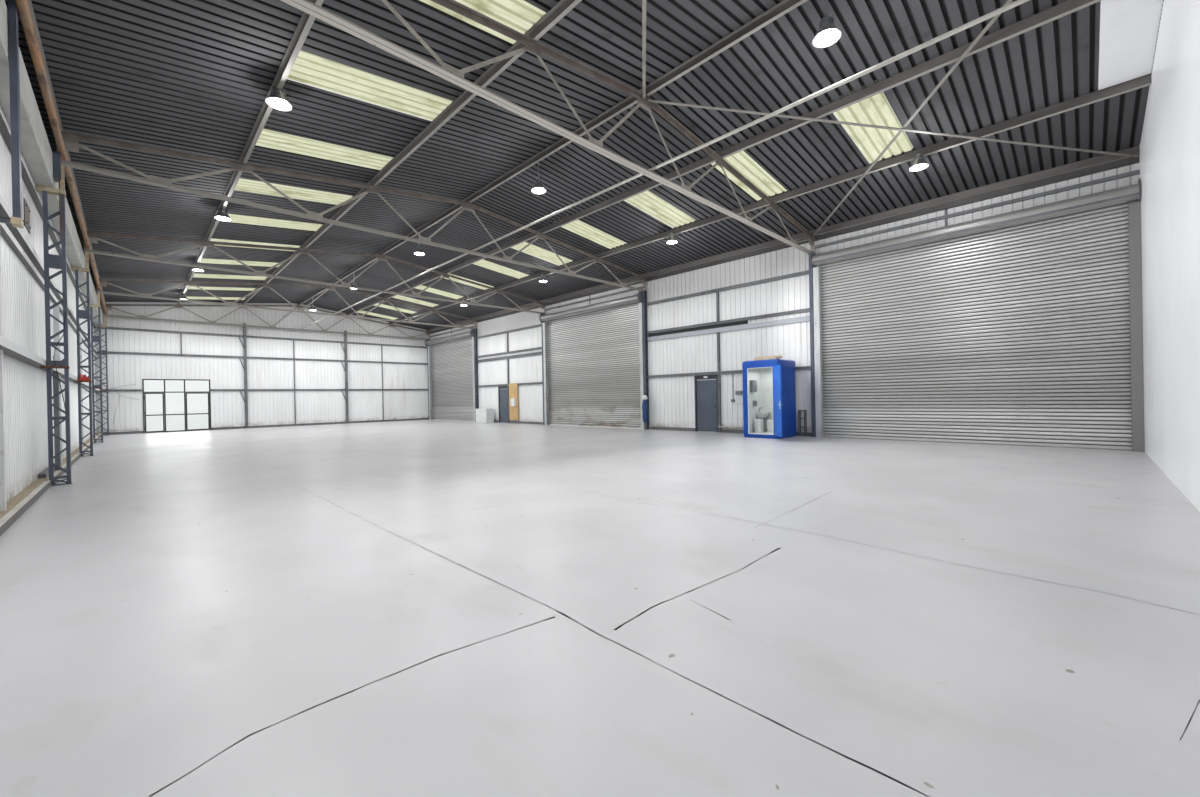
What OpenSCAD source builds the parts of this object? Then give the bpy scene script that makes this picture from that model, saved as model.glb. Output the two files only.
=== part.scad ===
// Single-storey steel factory hall: lattice stanchions, lattice roof trusses,
// corrugated roof with translucent panels, sheeted walls, roller shutters,
// side doors, a glazed entrance screen and a small washroom cabin.
// X runs along the hall, Y across it, Z up; ground level is z = 0.

/* [Hall] */
// number of bays along the hall
bays = 5; // [5:1:7]
// length of one bay, frame to frame
bay = 7100; // [6600:50:7600]
// ridge line to the end of a truss
half_span = 8430; // [8000:10:9000]
// thickness of the floor slab
slab_t = 150; // [100:10:250]
// centre of the top chord above ground at the eaves
eaves_z = 6650; // [6400:10:7000]
// slope of the roof
roof_pitch = 6.5; // [4:0.5:10]

/* [Stanchions] */
// overall depth of a laced stanchion
stanchion_d = 270; // [220:10:340]
// width of a stanchion leg along the hall
leg_w = 110; // [80:5:150]
// depth of a stanchion leg across the hall
leg_d = 52; // [40:2:80]
// plate thickness of a leg
leg_t = 10; // [6:1:14]
// rise of one lacing bar
lace_rise = 190; // [150:10:230]
// spacing of the lacing bars up a stanchion
lace_pitch = 275; // [250:5:350]
// width of a lacing bar
lace_w = 30; // [20:2:50]
// thickness of a lacing bar
lace_t = 10; // [6:1:14]

/* [Roof trusses] */
// centre of the bottom chord above ground
tie_z = 6150; // [5950:10:6300]
// leg of the chord angles
chord_leg = 80; // [60:5:120]
// thickness of the chord angles
chord_t = 9; // [6:1:12]
// thickness of the gusset plates between the angles
gusset_t = 12; // [8:1:16]
// width of a web angle
web_w = 60; // [40:5:90]
// thickness of a web angle
web_t = 8; // [6:1:12]

/* [Roof] */
// depth of a purlin
purlin_d = 180; // [140:10:220]
// flange width of a purlin
purlin_f = 76; // [60:2:100]
// plate thickness of a purlin
purlin_t = 8; // [6:1:10]
// thickness of the corrugated sheeting
sheet_t = 50; // [30:5:60]
// edge of the sheeting beyond the outside face of the plain side wall
eaves_overhang = 60; // [50:5:120]
// width of a translucent roof panel
light_w = 930; // [700:10:1100]
// spacing of the translucent roof panels
light_pitch = 3000; // [2500:50:3500]

/* [Walls] */
// thickness of the profiled wall sheeting
clad_t = 40; // [20:5:60]
// inside face of the shutter wall beyond the ends of the trusses
right_wall_gap = 40; // [30:5:60]
// inside face of the plain side wall beyond the ends of the trusses
left_wall_gap = 370; // [350:5:400]
// depth of a wall rail
rail_d = 90; // [60:5:110]
// height of a wall rail
rail_h = 110; // [80:5:150]
// heights of the three wall rails above the floor
rail_low = 2240; // [2200:10:2400]
rail_mid = 4160; // [3900:10:4300]
rail_top = 5400; // [5200:10:5500]

/* [Shutters] */
// top chord at the eaves down to the head of a shutter opening
shutter_head = 850; // [800:10:1500]
// pitch of the shutter slats
slat = 94; // [75:1:120]
// depth of the slat profile
slat_d = 24; // [15:1:30]
// width of a shutter guide
guide_w = 180; // [120:5:220]
// radius of the rolled curtain over a shutter
roll_r = 165; // [130:5:180]

/* [Doors] */
// width of a side door leaf
door_w = 920; // [800:10:1000]
// height of a side door leaf
door_h = 2010; // [1900:10:2100]
// thickness of a door leaf
door_t = 45; // [40:1:54]
// opening angle of the hinged doors
door_swing = 100; // [80:5:110]

/* [Glazed screen] */
// height of the screen
screen_h = 2840; // [2600:10:3000]
// face width of the screen sections
screen_s = 55; // [45:5:70]
// depth of the screen sections
screen_d = 70; // [50:5:90]
// thickness of the glass
glass_t = 10; // [6:1:24]

/* [Washroom cabin] */
// length of the cabin, along the wall
cabin_l = 1270; // [1100:10:1400]
// depth of the cabin, away from the wall
cabin_w = 1290; // [1100:10:1400]
// height of the cabin without its cap
cabin_h = 2480; // [2300:10:2600]
// wall thickness of the cabin
cabin_t = 40; // [30:5:60]
// how far the cabin door stands open
cabin_open = 129; // [90:1:130]

/* [Hidden] */
hall = bays * bay;
x0 = -hall / 2;
x1 = hall / 2;
wall_x = x1 + 150;
slope = tan(roof_pitch);
top = slab_t;
panel = half_span / 3;
eps = 0.5;
run = 1 / cos(roof_pitch);
seat = 0.3;
purlin_z0 = chord_leg / 2 + seat;
sheet_z0 = purlin_z0 + purlin_d + seat;
eaves_beam_d = 270;
right_wall_y = half_span + right_wall_gap;
left_wall_y = half_span + left_wall_gap;
roof_reach = left_wall_y + clad_t + eaves_overhang;
shutter_h = eaves_z - slab_t - shutter_head;
left_st_y = half_span - 70;
right_st_d = stanchion_d - 70;
right_st_y = right_wall_y - 20 - right_st_d;
head_z = tie_z - 540;
left_head_z = head_z - 80;
pipe_y = left_st_y + 10;
pipe_z = tie_z + 150;
kerb_y = left_wall_y - 200;
edging = 75;
hung_x = frame_x(1) + 2575;
hung_y = left_st_y + 65;
hung_z = 3800;
door_a_x = x0 + 1.5 * bay + 70;
door_b_x = x0 + 3.5 * bay + 70;
frame_top = door_h + 195;
door_rail = frame_top + rail_h / 2;
base_w = leg_w / 2 + 18;
side_gap = base_w + 4;
pin_r = 8;
screen_y = [7070, 6250, 5440, 4380];
post_y = [2720, -2720];
light_post_y = [5540, 250, -5070];
cabin_x = -10120;
cabin_y = -right_wall_y + 220 + cabin_w;
cabin_jamb = 200;
screen_head = screen_h - 725;
screen_rail = 900;
board_x = frame_x(3) + bay / 2 - 990;
foot_h = 120;
head_rail = eaves_z - 370;
roll_y = -right_wall_y + 83 + roll_r;
roll_z = top + shutter_h + 40;
cheek_z = roll_z - 220;
clear = 6;
joint = 0.4;

function frame_x(i) = x0 + i * bay;
function chord_z(y) = eaves_z + (half_span - abs(y)) * slope;

// flat bar of width w (in the YZ plane) and thickness t, from point a to b = [y, z]
module bar_yz(a, b, w, t) {
    len = norm(b - a);
    ang = atan2(b[1] - a[1], b[0] - a[0]);
    translate([0, a[0], a[1]]) rotate([ang, 0, 0]) translate([-t / 2, 0, -w / 2]) cube([t, len, w]);
}

// block given by its two corners
module block(a, b) {
    translate(a) cube(b - a);
}

// C-section along +X, web vertical, open to +Y, origin at the foot of the web
module channel_x(len, d, f, t) {
    rotate([90, 0, 90]) linear_extrude(len)
        polygon([[0, 0], [f, 0], [f, t], [t, t], [t, d - t], [f, d - t], [f, d], [0, d]]);
}

// follows the roof slope on side s (+1 or -1): local z = 0 is the top chord centre line
module on_slope(s, y) {
    translate([0, s * y, chord_z(y)]) mirror([0, s < 0 ? 1 : 0, 0])
        rotate([-roof_pitch, 0, 0]) children();
}

module floor_slab() {
    color("lightgrey")
        block([-wall_x, -right_wall_y - clad_t - 80, 0], [wall_x, left_wall_y + clad_t, slab_t]);
}

// raised kerb along the foot of the plain side wall
module side_kerb() {
    color("gainsboro") {
        block([x0 + 10, kerb_y + edging + joint, top], [x1 - 10, left_wall_y - 2, top + 110]);
        for (i = [0 : bays]) {
            xa = i == 0 ? x0 + 10 : truss_x(i) + base_w + joint;
            xb = i == bays ? x1 - 10 : truss_x(i + 1) - base_w - joint;
            block([xa, kerb_y, top], [xb, kerb_y + edging, top + 105]);
        }
    }
}

// one leg: channel standing on end, its web towards -Y when s = 1
module stanchion_leg(s, h) {
    mirror([0, s < 0 ? 1 : 0, 0]) linear_extrude(h)
        polygon([[-leg_w / 2, 0], [leg_w / 2, 0], [leg_w / 2, leg_d], [leg_w / 2 - leg_t, leg_d],
                 [leg_w / 2 - leg_t, leg_t], [-leg_w / 2 + leg_t, leg_t], [-leg_w / 2 + leg_t, leg_d],
                 [-leg_w / 2, leg_d]]);
}

// laced stanchion d deep: two legs, zigzag flats, battens, and crossed flats over a base plate
module stanchion(h, d, faces) {
    n = floor((h - 420) / lace_pitch);
    inner = leg_d - 14;
    stanchion_leg(1, h);
    translate([0, d, 0]) stanchion_leg(-1, h);
    for (f = faces) translate([f * (leg_w / 2 - leg_t), 0, 0]) {
        for (i = [0 : n - 1]) {
            za = 210 + i * lace_pitch;
            ya = i % 2 == 0 ? inner : d - inner;
            bar_yz([ya, za], [d - ya, za + lace_rise], lace_w, lace_t);
        }
        for (ya = [inner, d - inner])
            bar_yz([ya, 30], [d - ya, 100], lace_w / 2, lace_t);
    }
    // battens: a deep one at the middle rail, shallow ones lower down
    for (b = [[rail_mid - 160, 240], [rail_low - 60, 110], [rail_low + 330, 60], [1200, 60], [115, 40]])
        block([-leg_w / 2 + leg_t - eps, leg_d - 12, b[0]],
              [leg_w / 2 - leg_t + eps, d - leg_d + 12, b[0] + b[1]]);
    block([-base_w, -12, 0], [base_w, d + 12, 12]);
}

module stanchions_left() {
    color("slategray") {
        for (i = [1 : bays])
            translate([truss_x(i), left_st_y, top]) stanchion(left_head_z - top, stanchion_d, [-1, 1]);
        // short post hung from the eaves beam, with an arm from its foot back to the wall
        block([hung_x - 75, hung_y, hung_z], [hung_x + 75, hung_y + 60, eaves_z - 120 - seat]);
        block([hung_x - 30, hung_y + 75, hung_z - 60], [hung_x + 30, left_wall_y, hung_z - 20]);
    }
}

// the near gable wall takes the place of a frame; the last frame stands just inside the far gable
function truss_x(i) = i == bays ? x1 - 330 : frame_x(i);

// bearing block on each left stanchion and the stub that carries the truss, block under the hung post
module stanchion_heads() {
    color("tan") {
        for (i = [1 : bays]) translate([truss_x(i), 0, 0]) {
            block([-90, left_st_y - 10, left_head_z], [90, left_st_y + 346, head_z]);
            block([-45, left_st_y, head_z], [45, left_st_y + 70, tie_z - chord_leg / 2]);
        }
        block([hung_x - 90, hung_y - 5, hung_z - 75], [hung_x + 90, hung_y + 75 - seat, hung_z - seat]);
    }
}

module stanchions_right() {
    color("slategray") for (i = [1 : bays])
        translate([truss_x(i), -right_st_y - right_st_d, top]) {
            head = tie_z - chord_leg / 2 - top;
            stanchion(head - 20, right_st_d, [-1]);
            block([-80, -5, head - 20], [80, right_st_d + 5, head]);
        }
}

// pair of angles back to back, along +Y from the origin; up = 1 puts the flat legs at the top
module angle_pair(len, up) {
    for (s = [-1, 1]) {
        translate([s > 0 ? gusset_t / 2 - 1 : -gusset_t / 2 + 1 - chord_t, 0, -chord_leg / 2])
            cube([chord_t, len, chord_leg]);
        translate([s > 0 ? gusset_t / 2 - 1 : -gusset_t / 2 + 1 - chord_leg, 0,
                   up > 0 ? chord_leg / 2 - chord_t : -chord_leg / 2])
            cube([chord_leg, len, chord_t]);
    }
}

// roof truss: two sloping top chords, level tie, twelve webs, gussets and end plates
module truss() {
    for (s = [-1, 1]) {
        mirror([0, s < 0 ? 1 : 0, 0]) {
            translate([0, 0, chord_z(0)]) rotate([-roof_pitch, 0, 0]) angle_pair(half_span * run, 1);
            for (k = [0 : 2]) {
                tie_y = (k + 0.5) * panel;
                for (q = [k, k + 1])
                    bar_yz([q * panel, chord_z(q * panel) - 20], [tie_y, tie_z + 20], web_w, web_t);
                block([-gusset_t / 2, tie_y - 170, tie_z - chord_leg / 2 + 10],
                      [gusset_t / 2, tie_y + 170, tie_z + 130]);
                if (k > 0)
                    translate([0, k * panel, chord_z(k * panel)]) rotate([-roof_pitch, 0, 0])
                        block([-gusset_t / 2, -150, -130], [gusset_t / 2, 150, chord_leg / 2 - 10]);
            }
            block([-60, half_span - 1, tie_z - chord_leg / 2], [60, half_span + 11, eaves_z + 40]);
            block([-gusset_t / 2, half_span - 200, tie_z - 30], [gusset_t / 2, half_span, tie_z + 30]);
            block([-gusset_t / 2, half_span - 260, pipe_z + 90], [gusset_t / 2, half_span, eaves_z]);
        }
    }
    translate([0, -half_span, tie_z]) angle_pair(2 * half_span, -1);
    block([-gusset_t / 2, -210, chord_z(0) - 190], [gusset_t / 2, 210, chord_z(0) - 10]);
}

module truss_1() { color("rosybrown") translate([truss_x(1), 0, 0]) truss(); }
module truss_2() { color("rosybrown") translate([truss_x(2), 0, 0]) truss(); }
module truss_3() { color("rosybrown") translate([truss_x(3), 0, 0]) truss(); }
module truss_4() { color("rosybrown") translate([truss_x(4), 0, 0]) truss(); }
module truss_5() { color("rosybrown") translate([truss_x(bays), 0, 0]) truss(); }

module purlin_on_slope(s, y) {
    on_slope(s, y) translate([x0 + seat, -purlin_f / 2, purlin_z0])
        channel_x(hall, purlin_d, purlin_f, purlin_t);
}

// ridge purlin, two purlins on each slope and one at each eaves
module purlins() {
    color("dimgray") {
        translate([x0 + seat, -purlin_f / 2, chord_z(0) + purlin_z0 * run])
            channel_x(hall, purlin_d - 5, purlin_f, purlin_t);
        for (s = [-1, 1], y = [panel, 2 * panel, half_span - purlin_f / 2])
            purlin_on_slope(s, y);
    }
}

// deep beams between the truss ends, one in each bay and on each side
module eaves_beams() {
    color("dimgray") for (s = [-1, 1], i = [0 : bays - 1]) {
        xa = i == 0 ? x0 : truss_x(i) + 60;
        xb = truss_x(i + 1) - 60;
        mirror([0, s < 0 ? 1 : 0, 0]) translate([xa, half_span + 36, eaves_z - 120]) mirror([0, 1, 0])
            channel_x(xb - xa, eaves_beam_d, purlin_f, purlin_t);
    }
}

// old pipe along the left eaves, passing through the ends of the trusses on saddles
module eaves_pipe() {
    color("peru") {
        translate([x0 + seat, pipe_y, pipe_z]) rotate([0, 90, 0])
            cylinder(h = hall - seat, r = 50, $fn = 12);
        for (i = [1 : bays])
            block([truss_x(i) - 30, pipe_y - 30, tie_z + chord_leg / 2 + seat],
                  [truss_x(i) + 30, pipe_y + 30, pipe_z - 40]);
    }
}

// slender tube along the middle of the ties
module tie_tube() {
    color("lightgrey") translate([x0, -150, tie_z + chord_leg / 2 + 30]) rotate([0, 90, 0])
        cylinder(h = hall, r = 30, $fn = 12);
}

// crossed flats in the plane of the roof, from the near gable to the first truss
module wind_bracing() {
    w = 60;
    dy = (half_span - 120) * run;
    tip = w / 2 * sin(atan2(dy, bay)) + seat;
    dx = bay - gusset_t / 2 + 1 - chord_t - 2 * tip;
    ang = atan2(dy, dx);
    color("dimgray") for (s = [-1, 1]) on_slope(s, 0) for (k = [0, 1])
        translate([x0 + tip, w + k * dy, -k * (16 + seat)]) rotate([0, 0, k == 0 ? ang : -ang])
            translate([0, -w / 2, -8]) cube([norm([dx, dy]), w, 16]);
}

module slope_slab(s, y_in, y_out, z_in, t, xa, xb) {
    mirror([0, s < 0 ? 1 : 0, 0]) translate([0, 0, chord_z(0) + z_in * run]) rotate([90, 0, 90])
        translate([0, 0, xa]) linear_extrude(xb - xa)
            polygon([[y_in, -y_in * slope], [y_out, -y_out * slope],
                     [y_out, t * run - y_out * slope], [y_in, t * run - y_in * slope]]);
}

function light_x(k) = frame_x(1) + (k - 1) * light_pitch;
light_n = floor((x1 - 600 - light_x(0)) / light_pitch) + 1;

// corrugated sheeting of one slope with openings for the translucent panels
module roof_sheets(s) {
    difference() {
        slope_slab(s, 0, roof_reach, sheet_z0, sheet_t, -wall_x, wall_x);
        for (k = [0 : light_n - 1])
            slope_slab(s, panel + 45, 2 * panel - 45, sheet_z0 - 20, sheet_t + 40,
                       light_x(k) - light_w / 2, light_x(k) + light_w / 2);
    }
}
module roof_sheets_left() { color("darkgray") roof_sheets(1); }
module roof_sheets_right() { color("darkgray") roof_sheets(-1); }

module rooflights() {
    color("khaki") for (s = [-1, 1], k = [0 : light_n - 1])
        slope_slab(s, panel + 45 + seat, 2 * panel - 45 - seat, sheet_z0 + 16, 12,
                   light_x(k) - light_w / 2 + seat, light_x(k) + light_w / 2 - seat);
}

// ridge capping, and fascias along both slopes of each gable, turned down over the edge of the sheeting
module roof_trims() {
    over = sheet_z0 + sheet_t + seat;
    zt = chord_z(0) + (over + 20) * run;
    zb = chord_z(0) + (sheet_z0 - 120) * run;
    drop = roof_reach * slope;
    cap = 300;
    color("gray") for (s = [-1, 1]) {
        slope_slab(s, joint / 2, cap, over, 14, -wall_x, wall_x);
        for (e = [-1, 1]) {
            mirror([0, s < 0 ? 1 : 0, 0])
                translate([e < 0 ? -wall_x - 60 : wall_x, 0, 0]) rotate([90, 0, 90]) linear_extrude(60)
                    polygon([[joint / 2, zb], [roof_reach, zb - drop],
                             [roof_reach, zt - drop], [joint / 2, zt]]);
            slope_slab(s, cap + 3, roof_reach, over, 19,
                       e < 0 ? -wall_x - 20 : wall_x - 60, e < 0 ? -wall_x + 60 : wall_x + 20);
        }
    }
}

gutter_z = chord_z(roof_reach) + sheet_z0 - 130;

// box gutters under the edges of the sheeting, and two downpipes on each side
module rainwater_pipes() {
    color("gray") for (s = [-1, 1]) mirror([0, s < 0 ? 1 : 0, 0]) {
        translate([-wall_x, roof_reach - 10, gutter_z]) rotate([90, 0, 90]) linear_extrude(2 * wall_x)
            polygon([[0, 0], [110, 0], [130, 110], [124, 110], [106, 5], [5, 5], [5, 116], [0, 116]]);
        y = (s > 0 ? left_wall_y : right_wall_y) + clad_t;
        for (i = [1, 4]) translate([frame_x(i), y, 0]) {
            translate([0, 55.3, top + 40]) cylinder(h = gutter_z - 100 - top - 40, r = 50, $fn = 12);
            block([-50, 5.3, gutter_z - 100], [50, roof_reach + 90 - y, gutter_z - seat]);
        }
    }
}

// plain side wall, sheeted outside its rails
module side_wall_sheets() {
    color("whitesmoke")
        block([-x1 - 149, left_wall_y, top], [x1 + 149, left_wall_y + clad_t, eaves_top(left_wall_y)]);
}
function eaves_top(y) = chord_z(y + clad_t) + sheet_z0 * run - 2;

// rails and mid-bay posts of the plain wall, and the dark post hung in the second bay
module side_wall_framing() {
    wall = left_wall_y;
    under = top + rail_mid - 300;
    // height, depth and stop short of the far end; the low rail is a wider ledge
    color("gainsboro") for (r = [[rail_low, 165, 100], [rail_mid, rail_d, 10], [rail_top, rail_d, 10]])
        block([x0 + 10, wall - r[1], top + r[0] - rail_h / 2], [x1 - r[2], wall, top + r[0] + rail_h / 2]);
    color("gray") block([x0 + 10, wall - rail_d + 20, under], [x1 - 10, wall, under + 100]);
    color("gainsboro") for (i = [0 : bays - 1]) {
        xm = frame_x(i) + bay / 2;
        for (seg = [[top + 112, top + rail_low - rail_h / 2], [top + rail_low + rail_h / 2, under]])
            block([xm - 50, wall - rail_d, seg[0] + joint], [xm + 50, wall, seg[1] - joint]);
    }
}

// precast beams that lie on the heads of the left stanchions
module precast_eaves_beam() {
    color("silver") for (i = [0 : bays - 1])
        block([i == 0 ? x0 + 1 : truss_x(i) + 5, left_st_y + 130, head_z],
              [truss_x(i + 1) + (i == bays - 1 ? 300 : -5), left_st_y + 346, head_z + 610]);
}

// sheeting of the shutter wall: strips over the shutters, full bays beside the doors
module shutter_wall_sheets() {
    ya = -right_wall_y - clad_t;
    yb = -right_wall_y;
    zt = eaves_top(right_wall_y);
    zh = top + shutter_h;
    color("whitesmoke") {
        for (i = [0, 2, 4])
            block([i == 0 ? -wall_x + 1 : frame_x(i) + side_gap + joint, ya, zh],
                  [i == 4 ? wall_x - 1 : frame_x(i + 1) - side_gap - joint, yb, zt]);
        block([-wall_x + 1, ya, top], [shutter_xa(0), yb, zh - joint]);
        block([shutter_xb(4), ya, top], [wall_x - 1, yb, zh - joint]);
        for (d = [[1, door_a_x], [3, door_b_x]]) {
            xa = frame_x(d[0]) - side_gap;
            xb = frame_x(d[0] + 1) + side_gap;
            block([xa, ya, top], [d[1] - 4, yb, zt]);
            block([d[1] + door_w + 130, ya, top], [xb, yb, zt]);
            block([d[1] - 4 + joint, ya, top + frame_top], [d[1] + door_w + 130 - joint, yb, zt]);
        }
    }
}

// rails, mid-bay posts and foot rails of the two bays beside the doors
module shutter_wall_framing() {
    wall = -right_wall_y;
    low = top + door_rail;
    ledge = top + rail_mid - 360;
    color("dimgray") for (b = [1, 3]) {
        xa = frame_x(b) + leg_w / 2 + 12;
        xb = frame_x(b + 1) - leg_w / 2 - 12;
        xm = frame_x(b) + bay / 2;
        door = b == 1 ? door_a_x : door_b_x;
        for (z = [low, top + rail_mid, top + rail_top])
            block([xa, wall, z - rail_h / 2], [xb, wall + rail_d, z + rail_h / 2]);
        block([xa, wall, ledge], [xb, wall + rail_d - 20, ledge + 170]);
        for (seg = [[top, low - rail_h / 2], [low + rail_h / 2, ledge],
                    [top + rail_mid + rail_h / 2, top + rail_top - rail_h / 2]])
            block([xm - 40, wall, seg[0] + joint], [xm + 40, wall + rail_d, seg[1] - joint]);
        for (seg = [[xa + base_w, xm - 40], [door + door_w + 131, xb - base_w]])
            block([seg[0], wall, top + seat], [seg[1] - joint, wall + 55, top + foot_h]);
    }
}

// interlocking slats: trapezium profile repeated up the curtain
module slat_curtain(w, h) {
    n = floor(h / slat);
    d = slat_d - 6;
    outer = [[0, 0.05], [d, 0.2], [d, 0.75], [0, 0.9]];
    inner = [[6, 0.9], [slat_d, 0.78], [slat_d, 0.17], [6, 0.05]];
    pts_out = [for (i = [0 : n - 1], p = outer) [p[0], (i + p[1]) * slat]];
    pts_in = [for (i = [n - 1 : -1 : 0], p = inner) [p[0], (i + p[1]) * slat]];
    rotate([90, 0, 90]) linear_extrude(w)
        polygon(concat([[0, 0]], pts_out, [[0, n * slat], [6, n * slat]], pts_in, [[6, 0]]));
}

module shutter_curtains() {
    color("silver") for (i = [0, 2, 4]) {
        xa = shutter_xa(i);
        xb = shutter_xb(i);
        translate([xa + 20, -right_wall_y + 20, top + 90]) slat_curtain(xb - xa - 40, shutter_h);
        block([xa + 20, -right_wall_y + 15, top], [xb - 20, -right_wall_y + 55, top + 95]);
    }
}
function shutter_xa(i) = i == 0 ? x0 + 2 : frame_x(i) + side_gap;
function shutter_xb(i) = i == 4 ? truss_x(bays) - side_gap : frame_x(i + 1) - side_gap;

module shutter_guides() {
    color("silver") for (i = [0, 2, 4], s = [0, 1]) {
        x = s == 0 ? shutter_xa(i) : shutter_xb(i);
        translate([x, -right_wall_y, top]) mirror([s, 0, 0]) {
            linear_extrude(shutter_h + 60)
                polygon([[0, 0], [guide_w, 0], [guide_w, 12], [12, 12],
                         [12, 62], [guide_w, 62], [guide_w, 74], [0, 74]]);
            linear_extrude(cheek_z - top - seat)
                polygon([[0, 62], [guide_w, 62], [guide_w, 74], [12, 74],
                         [12, 218], [guide_w, 218], [guide_w, 230], [0, 230]]);
        }
    }
}

module shutter_lintels() {
    wall = -right_wall_y;
    head = top + shutter_h + 95;
    color("dimgray") for (i = [0, 2, 4]) {
        xa = shutter_xa(i);
        xb = shutter_xb(i);
        xm = (xa + xb) / 2;
        block([xa, wall, head], [xb, wall + 40, head + 110]);
        block([xa, wall, head_rail], [xb, wall + 74, head_rail + 80]);
        for (seg = [[head + 110 + joint, head_rail - joint], [head_rail + 80 + joint, eaves_z - 122]])
            block([xm - 30, wall, seg[0]], [xm + 30, wall + 18, seg[1]]);
    }
}

// rolled curtains between cheek plates, on the guides
module shutter_rolls() {
    color("silver") for (i = [0, 2, 4]) {
        xa = shutter_xa(i) + 10;
        xb = shutter_xb(i) - 10;
        translate([xa + 10, roll_y, roll_z]) rotate([0, 90, 0])
            cylinder(h = xb - xa - 20, r = roll_r, $fn = 24);
        for (x = [xa, xb - 20])
            translate([x, roll_y, roll_z]) rotate([90, 0, 90]) linear_extrude(20)
                polygon([[-roll_r - 9, cheek_z - roll_z], [120, cheek_z - roll_z], [205, -90],
                         [205, 120], [90, 260], [-roll_r - 9, 260]]);
    }
}

// half of a butt hinge: barrel on the pin line and a plate of width w towards the given side
module knuckle(z, reach, side) {
    translate([0, 0, z]) {
        cylinder(h = 39.8, r = pin_r, $fn = 24);
        block([min(0, side * 14), 0, 0], [max(0, side * 14), reach, 39.8]);
    }
}

// barrels of the fixed or the moving halves of a door's hinges, pins up at x = 0, y = 0
module hinge_set(h, reach, side, moving) {
    for (z = [200, h / 2, h - 320])
        knuckle(z + (moving ? 40 : 0), reach, side);
}

// pressed steel frames with a panel over each door
module door_frames() {
    color("dimgray") for (x = [door_a_x, door_b_x]) translate([x, 0, top]) {
        ya = -right_wall_y - clad_t;
        yb = -right_wall_y + 50;
        block([-4, ya, 0], [57, yb, frame_top]);
        block([door_w + 69, ya, 0], [door_w + 130, yb, frame_top]);
        block([57, ya, door_h + 20], [door_w + 69, yb, door_h + 65]);
        block([57, ya + 10, door_h + 65], [door_w + 69, yb - 30, frame_top - 40]);
        block([57, ya, frame_top - 40], [door_w + 69, yb, frame_top]);
        translate([door_w + 66, ya - 12, 0]) intersection() {
            hinge_set(door_h, 20, 1, false);
            block([-20, -20, 0], [30, 14, door_h]);
        }
    }
}

// leaf with lever handles and a kick plate, hinged on its far edge to open outwards
module side_door(x) {
    yo = -right_wall_y - clad_t;
    color("darkslategray") translate([x + 63, yo, top + 8]) {
        block([0, 4, 0], [door_w, 4 + door_t, door_h]);
        block([20, 3 + door_t, 20], [door_w - 20, 6 + door_t, 270]);
        block([70, -10, 900], [110, 5, 1060]);
        block([70, 3 + door_t, 900], [110, 18 + door_t, 1060]);
        block([70, -34, 990], [190, -20, 1010]);
        block([70, -34, 990], [90, 5, 1010]);
        block([70, 28 + door_t, 990], [190, 42 + door_t, 1010]);
        block([70, 3 + door_t, 990], [90, 42 + door_t, 1010]);
        translate([door_w + 3, -12, -8]) hinge_set(door_h, 17, -1, true);
    }
}
module side_door_near() { side_door(door_a_x); }
module side_door_far() { side_door(door_b_x); }

// far gable, sheeted beside and over the glazed screen
module end_wall_sheets() {
    ya = screen_y[3] - 40;
    yb = screen_y[0] + 40;
    zh = top + screen_h;
    color("whitesmoke") {
        for (c = [[-right_wall_y - 50, ya, top - 1], [ya + joint, yb - joint, zh + joint],
                  [yb, left_wall_y + 50, top - 1]])
            intersection() {
                gable_plate(x1 + 10, x1 + 10 + clad_t);
                block([x1, c[0], c[2]], [x1 + 60, c[1], chord_z(0) + 1000]);
            }
    }
}

// wall plate with the outline of the gable
module gable_plate(xa, xb) {
    yl = left_wall_y - 1;
    yr = -right_wall_y + 1;
    zt = chord_z(0) + sheet_z0 * run - 4;
    translate([xa, 0, 0]) rotate([90, 0, 90]) linear_extrude(xb - xa)
        polygon([[yr, top], [yl, top], [yl, zt - yl * slope], [0, zt], [yr, zt + yr * slope]]);
}

// far gable: main posts with knee brackets, rails, light posts between them and a foot rail
module end_wall_framing() {
    wall = x1 + 10;
    left_end = left_wall_y - rail_d - 10;
    right_end = -right_wall_y + 110;
    screen_l = screen_y[0] + 42;
    screen_r = screen_y[3] - 42;
    sides = [[right_end, post_y[1] - 60], [post_y[1] + 60, post_y[0] - 60], [post_y[0] + 60, left_end]];
    beside = [sides[0], sides[1], [post_y[0] + 60, screen_r], [screen_l, left_end]];
    color("dimgray") {
        for (r = [rail_mid, rail_top], sp = sides)
            block([wall - rail_d, sp[0], top + r - rail_h / 2], [wall, sp[1], top + r + rail_h / 2]);
        for (sp = beside) {
            block([wall - rail_d, sp[0], top + rail_low - rail_h / 2],
                  [wall, sp[1], top + rail_low + rail_h / 2]);
            block([wall - 60, sp[0], top + seat], [wall, min(sp[1], kerb_y - seat), top + foot_h]);
        }
        for (y = post_y) {
            block([x1 - 180, y - 58, top], [wall, y + 58, tie_z - chord_leg / 2 + 200]);
            for (r = [rail_low, rail_mid, rail_top])
                translate([x1 - 60, y + 57, top + r - rail_h / 2 - 2]) rotate([90, 0, 90])
                    linear_extrude(40) polygon([[0, -700], [235, 0], [190, 0], [0, -566]]);
        }
    }
    // light posts stand between the rails; the one over the screen has no lower lengths
    color("gray") for (y = light_post_y) {
        foot = [top + foot_h, top + rail_low + rail_h / 2];
        head = [top + rail_low - rail_h / 2, top + rail_mid - rail_h / 2];
        for (k = y > screen_r ? [] : [0, 1])
            block([wall - 70, y - 25, foot[k] + joint], [wall, y + 25, head[k] - joint]);
        block([wall - 70, y - 25, top + rail_mid + rail_h / 2 + joint],
              [wall, y + 25, top + rail_top - rail_h / 2 - joint]);
    }
}

screen_x = x1 - 20;

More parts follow.
